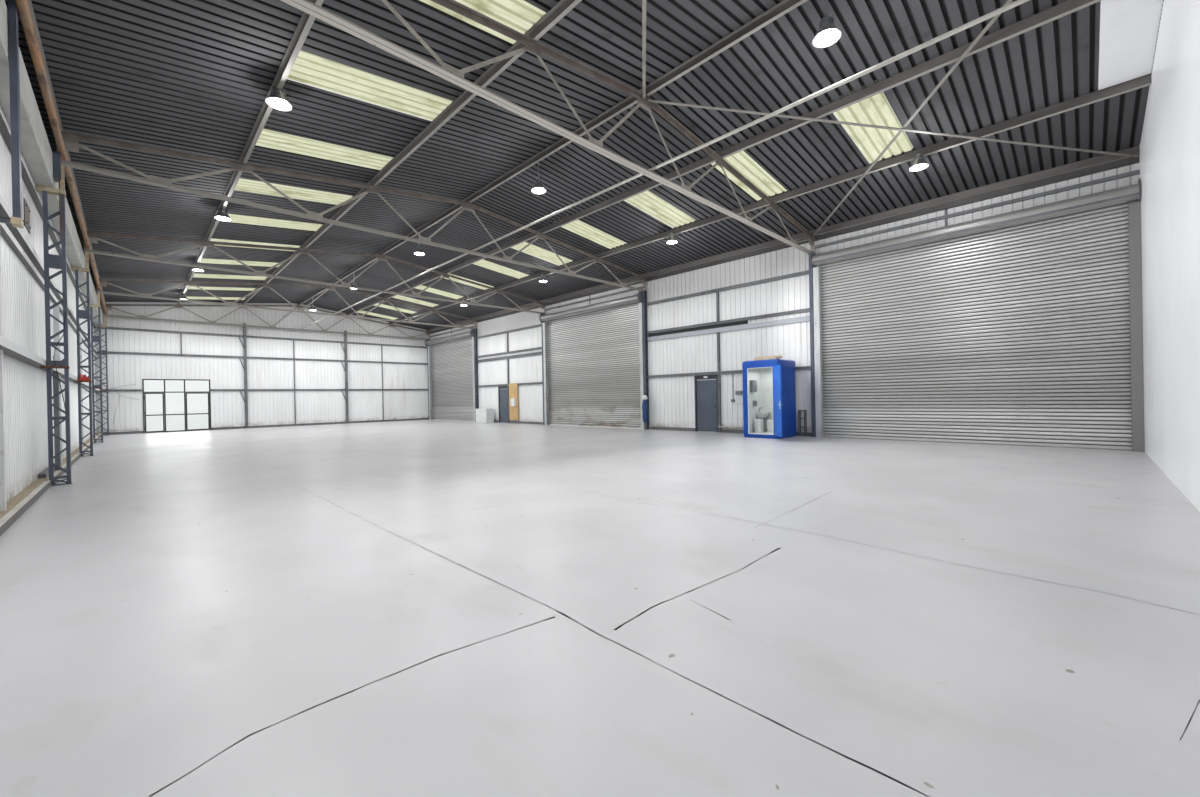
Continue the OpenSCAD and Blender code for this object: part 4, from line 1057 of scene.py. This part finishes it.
def floor_joints():
    """Ragged joints between the floor bays, with spalled edges where the photograph shows them widest."""
    bm = bmesh.new()
    level = FLOOR + JOINT_RISE
    spalls = [Vector((x, y, level)) for x, y in SPALLS]
    for width, route in JOINTS:
        line = []
        for a, b in zip(route, route[1:]):
            steps = max(2, int(math.dist(a, b) / JOINT_STEP))
            start, end = (Vector((*p, level)) for p in (a, b))
            line += [start.lerp(end, k / steps) for k in range(steps)]
        line.append(Vector((*route[-1], level)))
        lefts = []
        rights = []
        for i, point in enumerate(line):
            ahead = (line[min(i + 1, len(line) - 1)] - line[max(i - 1, 0)]).normalized()
            across = Vector((-ahead.y, ahead.x, 0))
            drift = random.uniform(-0.3, 0.3) * width
            half = width * random.uniform(0.12, 0.5)
            near = min((point - spall).length for spall in spalls)
            half += max(0, SPALL_REACH - near) * SPALL_SPREAD * random.uniform(0.2, 1.3)
            lefts.append(bm.verts.new(point + across * (drift + half)))
            rights.append(bm.verts.new(point + across * (drift - half)))
        for i in range(len(line) - 1):
            bm.faces.new((lefts[i], lefts[i + 1], rights[i + 1], rights[i]))
    bmesh.ops.solidify(bm, geom=bm.faces[:], thickness=JOINT_T)
    piece("floor_joints", bm, "joint", "floor_concrete")


def floor_spots():
    """Chips, drips and small stains that lie on the floor paint, most of them near the camera."""
    bm = bmesh.new()
    for _ in range(CHIPS):
        x = random.uniform(X_NEAR + 0.3, X_FAR - 0.3)
        y = random.uniform(-HALF_SPAN + 0.2, HALF_SPAN - 0.4)
        if random.random() < 0.6:
            x = X_NEAR + 0.4 + abs(random.gauss(0, 5))
        size = random.choice(CHIP_SIZES) * random.uniform(0.6, 1.2)
        stretch = Matrix.Diagonal((random.uniform(1, 2.6), 1, 1, 1))
        turn = Matrix.Rotation(random.uniform(0, math.pi), 4, "Z")
        outline = []
        for k in range(8):
            u = size * random.uniform(0.6, 1.1) * math.cos(k * math.pi / 4)
            v = size * random.uniform(0.6, 1.1) * math.sin(k * math.pi / 4)
            outline.append((u, v))
        place = Matrix.Translation((x, y, FLOOR + CHIP_RISE)) @ turn @ stretch
        add_loft(bm, [[place @ Vector((u, v, z)) for u, v in outline] for z in (0, CHIP_T)])
    piece("floor_chips", bm, "joint", "floor_concrete")


# Cabin

FLOOR_LINING = 0.004
BATTENS = 9
BATTEN = (0.07, 0.045)


def cabin():
    """Moulded cabin with round corners: tray, posts and sunk panels, header and a low domed roof."""
    x_a, x_b = CABIN_X, CABIN_X + CABIN_L
    y_a, y_b = CABIN_Y - CABIN_W, CABIN_Y
    door_a, door_b = x_a + CABIN_JAMB, x_b - CABIN_JAMB
    door_foot, door_head = FLOOR + 0.12, FLOOR + CABIN_H - CABIN_HEADER
    top = FLOOR + CABIN_H
    post = 0.15
    recess = 0.012
    wall = 0.024
    sides = [[Vector(v) for v in side] for side in (
        ((x_a, y_b - post), (x_a, y_a + post), (1, 0), (0, -recess)),
        ((x_a + post, y_a), (x_b - post, y_a), (0, 1), (0, 0)),
        ((x_b, y_a + post), (x_b, y_b - post), (-1, 0), (0, recess)))]

    def outline(inset, shrink=0.6):
        return rounded(x_a + inset, y_a + inset, x_b - inset, y_b - inset, 0.07 - inset * shrink)

    def wrapped(inset, sunk):
        """Plan from one door jamb round the back to the other; the panels lie back by sunk."""
        points = outline(inset)
        count = CORNER_STEPS + 1
        corners = [points[k * count:(k + 1) * count] for k in (3, 0, 1, 2)]
        back = inset + sunk
        line = [(door_a, y_b - inset), (x_a + post, y_b - inset)] + corners[0]
        for (start, end, inward, slant), corner in zip(sides, corners[1:]):
            line += [start + inward * inset, start + inward * back + slant]
            line += [end + inward * back - slant, end + inward * inset] + corner
        return line + [(x_b - post, y_b - inset), (door_b, y_b - inset)]

    bm = bmesh.new()
    add_ring(bm, wrapped(0, recess), wrapped(wall, recess), door_foot, door_head, closed=False)
    tray = ((0.02, 0), (0.008, 0.035), (0.008, 0.09), (0.0, 0.1), (0.0, 0.12))
    add_loft(bm, [at_height(outline(inset), FLOOR + up) for inset, up in tray])
    add_ring(bm, outline(0), outline(0.03), door_head, top - 0.02)
    roof = ((0.0, -0.02), (0.004, 0.004), (0.03, 0.03), (0.09, 0.046), (0.22, 0.058))
    add_loft(bm, [at_height(outline(inset, 0), top + up) for inset, up in roof])
    for x in (x_a + 0.24, x_b - 0.24):
        add_boxes(bm, (x, y_b, FLOOR), [((-0.11, -0.002, 0.012), (0.11, 0.006, 0.02))])
    for z in CABIN_HINGES:
        hinge = CABIN_PIN + Vector((0, 0, z))
        add_barrel(bm, hinge)
        add_boxes(bm, hinge, [((-0.045, -0.028, 0), (0, -0.019, BARREL)),
                              ((-0.006, -0.02, 0), (0.006, -0.005, BARREL))])
    piece("cabin_moulding", bm, "blue", "blue_moulding", stands_for=["cabin_shell"], smooth=35)

    bm = bmesh.new()
    outside, inside = 0.037, 0.041
    ceiling = door_head + 0.1
    add_ring(bm, wrapped(outside, 0), wrapped(inside, 0), door_foot + 0.002, ceiling, closed=False)
    for inset, low, high in ((0.042, ceiling - 0.005, ceiling), (0.036, door_foot, door_foot + FLOOR_LINING)):
        add_box(bm, (x_a + inset, y_a + inset, low), (x_b - inset, y_b - inset, high))
    rebate = 0.012
    for xa, za, xb, zb in ((door_a, door_foot, door_a + rebate, door_head),
                           (door_b - rebate, door_foot, door_b, door_head),
                           (door_a, door_head - rebate, door_b, door_head),
                           (door_a, door_foot, door_b, door_foot + rebate)):
        add_box(bm, (xa, y_b - 0.045, za), (xb, y_b + 0.003, zb))
    piece("cabin_lining", bm, "cabin white", "white_moulding", smooth=35)
    cabin_fittings(x_a + CABIN_T, x_b - CABIN_T, y_a + CABIN_T, door_foot + FLOOR_LINING)
    roof_battens((x_a + 0.6, y_b - 0.62, top + 0.058))


def cabin_fittings(left, right, back, low):
    """Basin with tap and trap, a bin under it, a closed seat on its bench, towel and soap boxes."""
    bm = bmesh.new()
    rim = FLOOR + 0.79
    add_moulding(bm, (right, back, rim), (
        (-0.24, 0.1, 0, 0.34, 0.08, -0.2), (-0.33, 0.03, 0, 0.41, 0.09, -0.05),
        (-0.36, 0, 0, 0.44, 0.09, -0.012), (-0.36, 0, 0, 0.44, 0.09, 0),
        (-0.34, 0.02, -0.03, 0.42, 0.08, 0.003), (-0.3, 0.06, -0.08, 0.38, 0.08, -0.06),
        (-0.24, 0.12, -0.14, 0.32, 0.04, -0.09)))
    add_moulding(bm, (right, back, low), (
        (-0.29, 0.42, -0.06, 0.66, 0.04, 0), (-0.29, 0.4, -0.04, 0.68, 0.04, 0.42),
        (-0.29, 0.41, -0.05, 0.67, 0.04, 0.46)))
    add_moulding(bm, (left, back, low), (
        (0, 0, 0.78, 0.42, 0.05, 0), (0, 0, 0.78, 0.48, 0.05, 0.39), (0, 0, 0.78, 0.46, 0.05, 0.42)))
    add_moulding(bm, (left, back, low), (
        (0.18, 0.06, 0.58, 0.46, 0.17, 0.42), (0.18, 0.06, 0.58, 0.46, 0.17, 0.445),
        (0.21, 0.09, 0.55, 0.43, 0.17, 0.455)))
    piece("cabin_sanitary_ware", bm, "white plastic", "white_moulding", stands_for=["cabin_basin"], smooth=40)
    bm = bmesh.new()
    add_moulding(bm, (right, back, FLOOR), (
        (-0.11, 0.52, -0.006, 0.8, 0.02, 1.5), (-0.13, 0.52, -0.006, 0.8, 0.02, 1.54),
        (-0.13, 0.52, -0.006, 0.8, 0.02, 1.86), (-0.1, 0.52, -0.006, 0.8, 0.02, 1.9)))
    add_boxes(bm, (right, back, FLOOR), [((-0.1, 0.5, 1.02), (-0.006, 0.6, 1.2))])
    middle = (right, back + 0.22, rim)
    tap = ((-0.03, 0, 0), (-0.03, 0, 0.12), (-0.06, 0, 0.16), (-0.15, 0, 0.15))
    trap = ((-0.19, 0, -0.19), (-0.19, 0, -0.32), (-0.14, 0, -0.36), (-0.02, 0, -0.33))
    add_tube(bm, moved(middle, tap), 0.011, 10)
    add_tube(bm, moved(middle, trap), 0.018, 10)
    piece("cabin_dispensers", bm, "grey plastic", "white_moulding", smooth=40)


def roof_battens(origin):
    """Short battens of timber lying in three layers on the cabin's roof."""
    bm = bmesh.new()
    wide, thick = BATTEN
    for k in range(BATTENS):
        length = random.uniform(0.5, 0.86)
        turn = random.uniform(-3, 3)
        batten = add_box(bm, (-length / 2, -wide / 2, 0), (length / 2, wide / 2, thick))
        place = Matrix.Translation(Vector(origin) + Vector((0, 0.1 * (k % 4), (thick + EDGE) * (k // 4))))
        bmesh.ops.transform(bm, matrix=place @ Matrix.Rotation(math.radians(turn), 4, "Z"), verts=batten)
    piece("cabin_roof_battens", bm, "packing", "timber_packing", bevel=0.003)


def cabin_leaf():
    """The open leaf: a light blue moulding with sunk panels on both faces, and a lever on either side."""
    swing = Matrix.Translation(CABIN_PIN) @ Matrix.Rotation(CABIN_OPEN, 4, "Z")
    near = 0.01
    wide = CABIN_L - 2 * CABIN_JAMB + 0.05
    foot = 0.132
    head = CABIN_H - CABIN_HEADER + 0.01
    rim = 0.07
    middle = (foot + head) / 2
    bm = bmesh.new()
    add_box(bm, (near, -0.006, foot), (wide, 0.006, head))
    for xa, za, xb, zb in ((near, foot, wide, foot + rim), (near, head - rim, wide, head),
                           (near, foot + rim, near + rim, head - rim),
                           (wide - rim, foot + rim, wide, head - rim),
                           (near + rim, middle - rim / 2, wide - rim, middle + rim / 2)):
        add_box(bm, (xa, -0.015, za), (xb, 0.015, zb))
    for z in [h + 0.04 for h in CABIN_HINGES]:
        add_barrel(bm, (0, 0, z))
        add_box(bm, (0.002, -0.006, z), (0.014, 0.006, z + BARREL))
    bmesh.ops.transform(bm, matrix=swing, verts=bm.verts)
    piece("cabin_leaf_moulding", bm, "leaf blue", "light_blue_moulding", "cabin_leaf",
          stands_for=["cabin_door"], bevel=0.003)
    bm = bmesh.new()
    lever = (wide - 0.08, 0, 1.1)
    for face in (1, -1):
        add_boxes(bm, lever, [((-0.03, face * 0.0145, -0.13), (0.03, face * 0.0225, 0.11))])
        path = ((0, 0.018 * face, 0), (0, 0.04 * face, 0), (-0.015, 0.04 * face, 0), (-0.115, 0.04 * face, 0))
        add_tube(bm, moved(lever, path), 0.0115, 10)
    bmesh.ops.transform(bm, matrix=swing, verts=bm.verts)
    piece("cabin_leaf_levers", bm, "satin steel", "galvanised_steel", "cabin_leaf", smooth=40)


# Fittings and loose parts on the walls; the rows of numbers are places measured from the origin

LEFT = (0, HALF_SPAN, FLOOR)
RIGHT = (0, -SHUTTER_WALL_Y, FLOOR)


def service_fittings():
    """Board with a distribution box by the far door, and a switch with its conduit by the near one."""
    board = (frame_x(3) + BAY / 2 - 0.99, -SHUTTER_WALL_Y + RAIL_D, FLOOR)
    box_piece("timber_board", board, [((0, 0, 0.2), (0.86, 0.024, 2.33))],
              "plywood", "timber_board", stands_for=["service_fittings"], bevel=0.002)
    box_piece("distribution_box", board, [((0.14, 0.024, 1.0), (0.52, 0.146, 1.45)),
                                          ((0.15, 0.146, 1.01), (0.51, 0.15, 1.44))],
              "white plastic", "white_moulding", bevel=0.004)
    switch = (DOOR_XS[0] - 0.69, -SHUTTER_WALL_Y, FLOOR)
    bm = bmesh.new()
    add_boxes(bm, switch, [((0, 0, 1.15), (0.125, 0.08, 1.25)), ((0.04, 0.08, 1.185), (0.085, 0.086, 1.215))])
    add_tube(bm, moved(switch, ((0.062, 0.013, 1.25), (0.062, 0.013, 2.2))), 0.0125, 10)
    add_boxes(bm, switch, [((0.035, 0, z), (0.09, 0.028, z + 0.02)) for z in (1.4, 1.75, 2.1)])
    piece("switch_and_conduit", bm, "grey plastic", "white_moulding", smooth=40)


def stanchion_brackets():
    """Rusty angle under the low rail at each left stanchion, and a rod that hangs from the second."""
    bm = bmesh.new()
    for i in range(1, BAYS + 1):
        place = Vector((truss_x(i), HALF_SPAN, FLOOR))
        add_boxes(bm, place, [((-0.09, -0.085, 2.145), (-0.084, 0.27, 2.183)),
                              ((-0.09, -0.085, 2.145), (-0.053, 0.27, 2.151))])
        add_bolt(bm, place + Vector((-0.09, 0.12, 2.164)), (-1, 0, 0), 0.022, 0.014, 0.016)
    rod = (frame_x(2) - 0.06, HALF_SPAN - 0.01, FLOOR)
    add_tube(bm, moved(rod, ((0, 0, 4.53), (0, 0, 5.67))), 0.008)
    piece("rusty_brackets", bm, "rusty plate", "rusty_steel")


def hanging_cables():
    """Black cables left clipped to the second left stanchion and to the white end wall, as (y, z) routes."""
    bm = bmesh.new()
    end_wall = X_FAR - 0.097
    routes = (
        (frame_x(2) - 0.067, ((8.378, 3.356), (8.409, 2.924), (8.498, 2.732), (8.539, 2.49), (8.438, 1.807),
                              (8.405, 1.527))),
        (end_wall, ((8.645, 2.315), (8.186, 2.514), (7.7, 2.64), (7.31, 2.722))),
        (end_wall, ((8.186, 2.514), (7.942, 2.157), (8.1, 1.4), (8.216, 0.641))),
        (end_wall, ((7.497, 0.343), (7.9, 0.36), (8.536, 0.408))),
        (end_wall, ((7.942, 2.157), (7.6, 2.0), (7.211, 1.889))),
    )
    for x, route in routes:
        add_tube(bm, [(x, y, z) for y, z in route], 0.006)
    piece("loose_cables", bm, "dark plastic", "black_aluminium", smooth=60)


def left_wall_parts():
    """Short dark post with a box beam at its foot, a steel plate beside the hung post, and a red holder."""
    box_piece("short_dark_post", LEFT, [((-1.74, 0.19, 0.11), (-1.66, 0.2675, 2.18)),
                                        ((-3.2, 0.2677, 0.11), (-1.2, 0.366, 0.19))],
              "rail", "dark_steel", bevel=0.003)
    box_piece("bracket_at_second_head", (frame_x(2), HALF_SPAN, FLOOR),
              [((-0.13, -0.035, 5.64), (0.13, 0.0585, 6.12))], "stanchion", "blue_grey_steel", bevel=0.003)
    bm = bmesh.new()
    add_boxes(bm, LEFT, [((-7.5, 0.026, 3.74), (-7.06, 0.036, 4.08)),
                         ((-7.5, 0.036, 3.74), (-7.44, 0.3, 3.8))])
    for place in moved(LEFT, [(x, 0.026, z) for x in (-7.4, -7.14) for z in (3.8, 4.02)]):
        add_bolt(bm, place, (0, -1, 0), 0.02, 0.012, 0.015)
    piece("plate_by_hung_post", bm, "brown plate", "pale_steel")
    box_piece("red_holder", (frame_x(3), HALF_SPAN, FLOOR), [((-0.115, -0.04, 2.19), (-0.06, 0.17, 2.29)),
                                                             ((-0.1, 0.02, 2.29), (-0.065, 0.11, 2.36)),
                                                             ((-0.11, 0.12, 2.29), (-0.06, 0.15, 2.39))],
              "red plastic", "white_moulding", bevel=0.01)


def cover_piece(name, rows, finish, slot):
    """Oval bundle tied to the second right stanchion, through rows of radius and height."""
    bm = bmesh.new()
    oval = Matrix.Diagonal((1, 0.8, 1))
    foot = Vector((frame_x(2) - 0.09, -HALF_SPAN + 0.3, FLOOR))
    add_loft(bm, [circle(radius, 16, foot + Vector((0, 0, z)), oval) for radius, z in rows])
    piece(name, bm, finish, slot, smooth=60)


def right_wall_parts():
    """Along the right wall: boxes, a pipe, a stand behind the cabin, a tied cover and a chest."""
    door = DOOR_XS[0]
    box_piece("bare_plate_and_box", RIGHT, [((door + 0.45, 0.02, 2.09), (door + 0.62, 0.0515, 2.16)),
                                            ((-8.07, 0, 1.11), (-7.79, 0.06, 1.37))],
              "white plastic", "white_moulding", bevel=0.003)
    box_piece("grey_switch_box", RIGHT, [((-8.03, 0, 1.42), (-7.79, 0.09, 1.556)),
                                         ((-7.99, 0.09, 1.44), (-7.83, 0.094, 1.53))],
              "grey plastic", "white_moulding", bevel=0.004)
    bm = bmesh.new()
    add_tube(bm, moved(RIGHT, ((-8.9, 0.1, 0.213), (-7.06, 0.1, 0.213))), 0.025, 12)
    add_boxes(bm, RIGHT, [((x, 0.002, 0.2), (x + 0.03, 0.1, 0.215)) for x in (-8.6, -7.9, -7.2)])
    piece("pale_pipe_at_foot", bm, "pale steel", "pale_steel", smooth=40)
    legs = [((x, y, 0), (x + 0.03, y + 0.03, 0.87)) for x in (-10.36, -10.17) for y in (0.03, 0.15)]
    shelves = [((-10.36, 0.03, z), (-10.14, 0.18, z + 0.02)) for z in (0.3, 0.58, 0.85)]
    box_piece("dark_stand_behind_cabin", RIGHT, legs + shelves, "rail", "dark_steel", bevel=0.002)
    cover = ((0.05, 0.3), (0.1, 0.36), (0.13, 0.55), (0.11, 0.75), (0.14, 0.98), (0.1, 1.2), (0.07, 1.27))
    cover_piece("tied_blue_cover", cover, "blue cloth", "timber_packing")
    knot = ((0.08, 1.27), (0.13, 1.31), (0.12, 1.4), (0.07, 1.47))
    cover_piece("pale_cover_top", knot, "white plastic", "white_moulding")
    box_piece("white_chest", RIGHT, [((8.5, 0.2, 0), (9.75, 0.75, 0.8)),
                                     ((8.49, 0.19, 0.803), (9.76, 0.76, 0.86))],
              "white plastic", "white_moulding", bevel=0.012)


# Light and camera; an area light is its place, its two sides, its power and the point that it faces

WASHES = {
    "wash down near": ((-8.6, 0, 6.02), (17, 15), 380, (-8.6, 0, 0)),
    "wash down far": ((8.6, 0, 6.02), (17, 15), 840, (8.6, 0, 0)),
    "wash up": ((0, 0, 0.6), (34, 15), 85, (0, 0, 8)),
    "wash left": ((0, -7.4, 4.7), (34, 2.0), 110, (0, 8.8, 2.8)),
    "wash right": ((0, 0.5, 4.4), (34, 2.0), 230, (0, -8.4, 2.8)),
    "wash near": ((-9, 0, 4.2), (14, 2.0), 440, (-17.7, 0, 2.4)),
    "wash far": ((6, 0, 4.7), (14, 2.0), 95, (17.7, 0, 2.4)),
    "daylight at the screen": ((17.4, 5.72, 1.5), (2.6, 2.2), 45, (0, 5.2, 0)),
    "far floor": ((12.5, 3.5, 5.4), (9, 8), 110, (12.5, 3.5, 0)),
    "left floor": ((-11.2, 6.9, 5.4), (8, 1.5), 80, (-11.2, 6.9, 0)),
    "cabin roof glow": ((-9.48, -7.6, 2.35), (0.9, 0.9), 7, (-9.48, -7.6, 0)),
}
SEEN_IN_GLOSS = "daylight at the screen"


def add_light(name, kind, power):
    data = bpy.data.lights.new(name, kind)
    data.energy = power
    made = bpy.data.objects.new(name, data)
    bpy.context.collection.objects.link(made)
    return made, data


def lights():
    world = bpy.data.worlds.new("studio")
    bpy.context.scene.world = world
    world.use_nodes = True
    background = world.node_tree.nodes["Background"]
    background.inputs["Color"].default_value = linear("#FFFFFF")
    background.inputs["Strength"].default_value = 1.0
    made, sun = add_light("soft sun", "SUN", 1.2)
    sun.angle = math.radians(25)
    made.rotation_euler = (math.radians(38), 0, math.radians(-35))
    for name, (place, sides, power, aim) in WASHES.items():
        made, wash = add_light(name, "AREA", power)
        wash.shape = "RECTANGLE"
        wash.size, wash.size_y = sides
        made.location = place
        made.rotation_euler = (Vector(aim) - Vector(place)).to_track_quat("-Z", "Y").to_euler()
        made.visible_camera = False
        made.visible_glossy = name == SEEN_IN_GLOSS
    for n, place in enumerate(lamp_places()):
        made, bulb = add_light(f"lamp {n}", "POINT", 150)
        bulb.shadow_soft_size = 0.16
        made.location = place - Vector((0, 0, 0.06))
        made.visible_camera = False


def ground():
    bm = bmesh.new()
    bmesh.ops.create_grid(bm, x_segments=1, y_segments=1, size=150)
    mesh = bpy.data.meshes.new("studio_floor")
    bm.to_mesh(mesh)
    bm.free()
    floor = bpy.data.objects.new("studio_floor", mesh)
    floor.location.z = -0.002
    paint = Paint("plain pale floor", 0.8)
    paint.colour = linear("#DCDCDC")
    mesh.materials.append(paint.done())
    bpy.context.collection.objects.link(floor)


def camera():
    """The viewpoint that was worked out from the straight lines of the hall."""
    focal_px = 477.5
    width_px = 1200
    centre_below_px = 0.2
    yaw = math.radians(44.461)
    tilt = math.radians(-0.182)
    roll = math.radians(-1.104)
    place = Vector((-16.872, 7.534, 1.574))
    ahead = Vector((math.cos(yaw) * math.cos(tilt), -math.sin(yaw) * math.cos(tilt), math.sin(tilt)))
    level = Vector((ahead.y, -ahead.x, 0)).normalized()
    upright = level.cross(ahead)
    right = level * math.cos(roll) + upright * math.sin(roll)
    up = upright * math.cos(roll) - level * math.sin(roll)
    data = bpy.data.cameras.new("viewpoint")
    data.sensor_width = 36
    data.lens = data.sensor_width * focal_px / width_px
    data.shift_y = centre_below_px / width_px
    data.clip_start = 0.05
    data.clip_end = 400
    made = bpy.data.objects.new("viewpoint", data)
    turn = Matrix((right, up, -ahead)).transposed()
    made.matrix_world = Matrix.Translation(place) @ turn.to_4x4()
    bpy.context.collection.objects.link(made)
    bpy.context.scene.camera = made


random.seed(7)
dress_nodes()
roof_sheeting()
rooflight_panels()
side_wall_sheeting()
shutter_wall_sheeting()
end_wall_sheeting()
near_gable()
gable_closers()
shutter_slats()
curtain_rolls()
ledge_facings()
glazed_leaves()
lamp_parts()
truss_bolts()
foot_bolts()
roof_fixings()
floor_joints()
floor_spots()
cabin()
cabin_leaf()
service_fittings()
stanchion_brackets()
hanging_cables()
left_wall_parts()
right_wall_parts()
ground()
lights()
camera()
bpy.context.scene.view_settings.view_transform = "Standard"
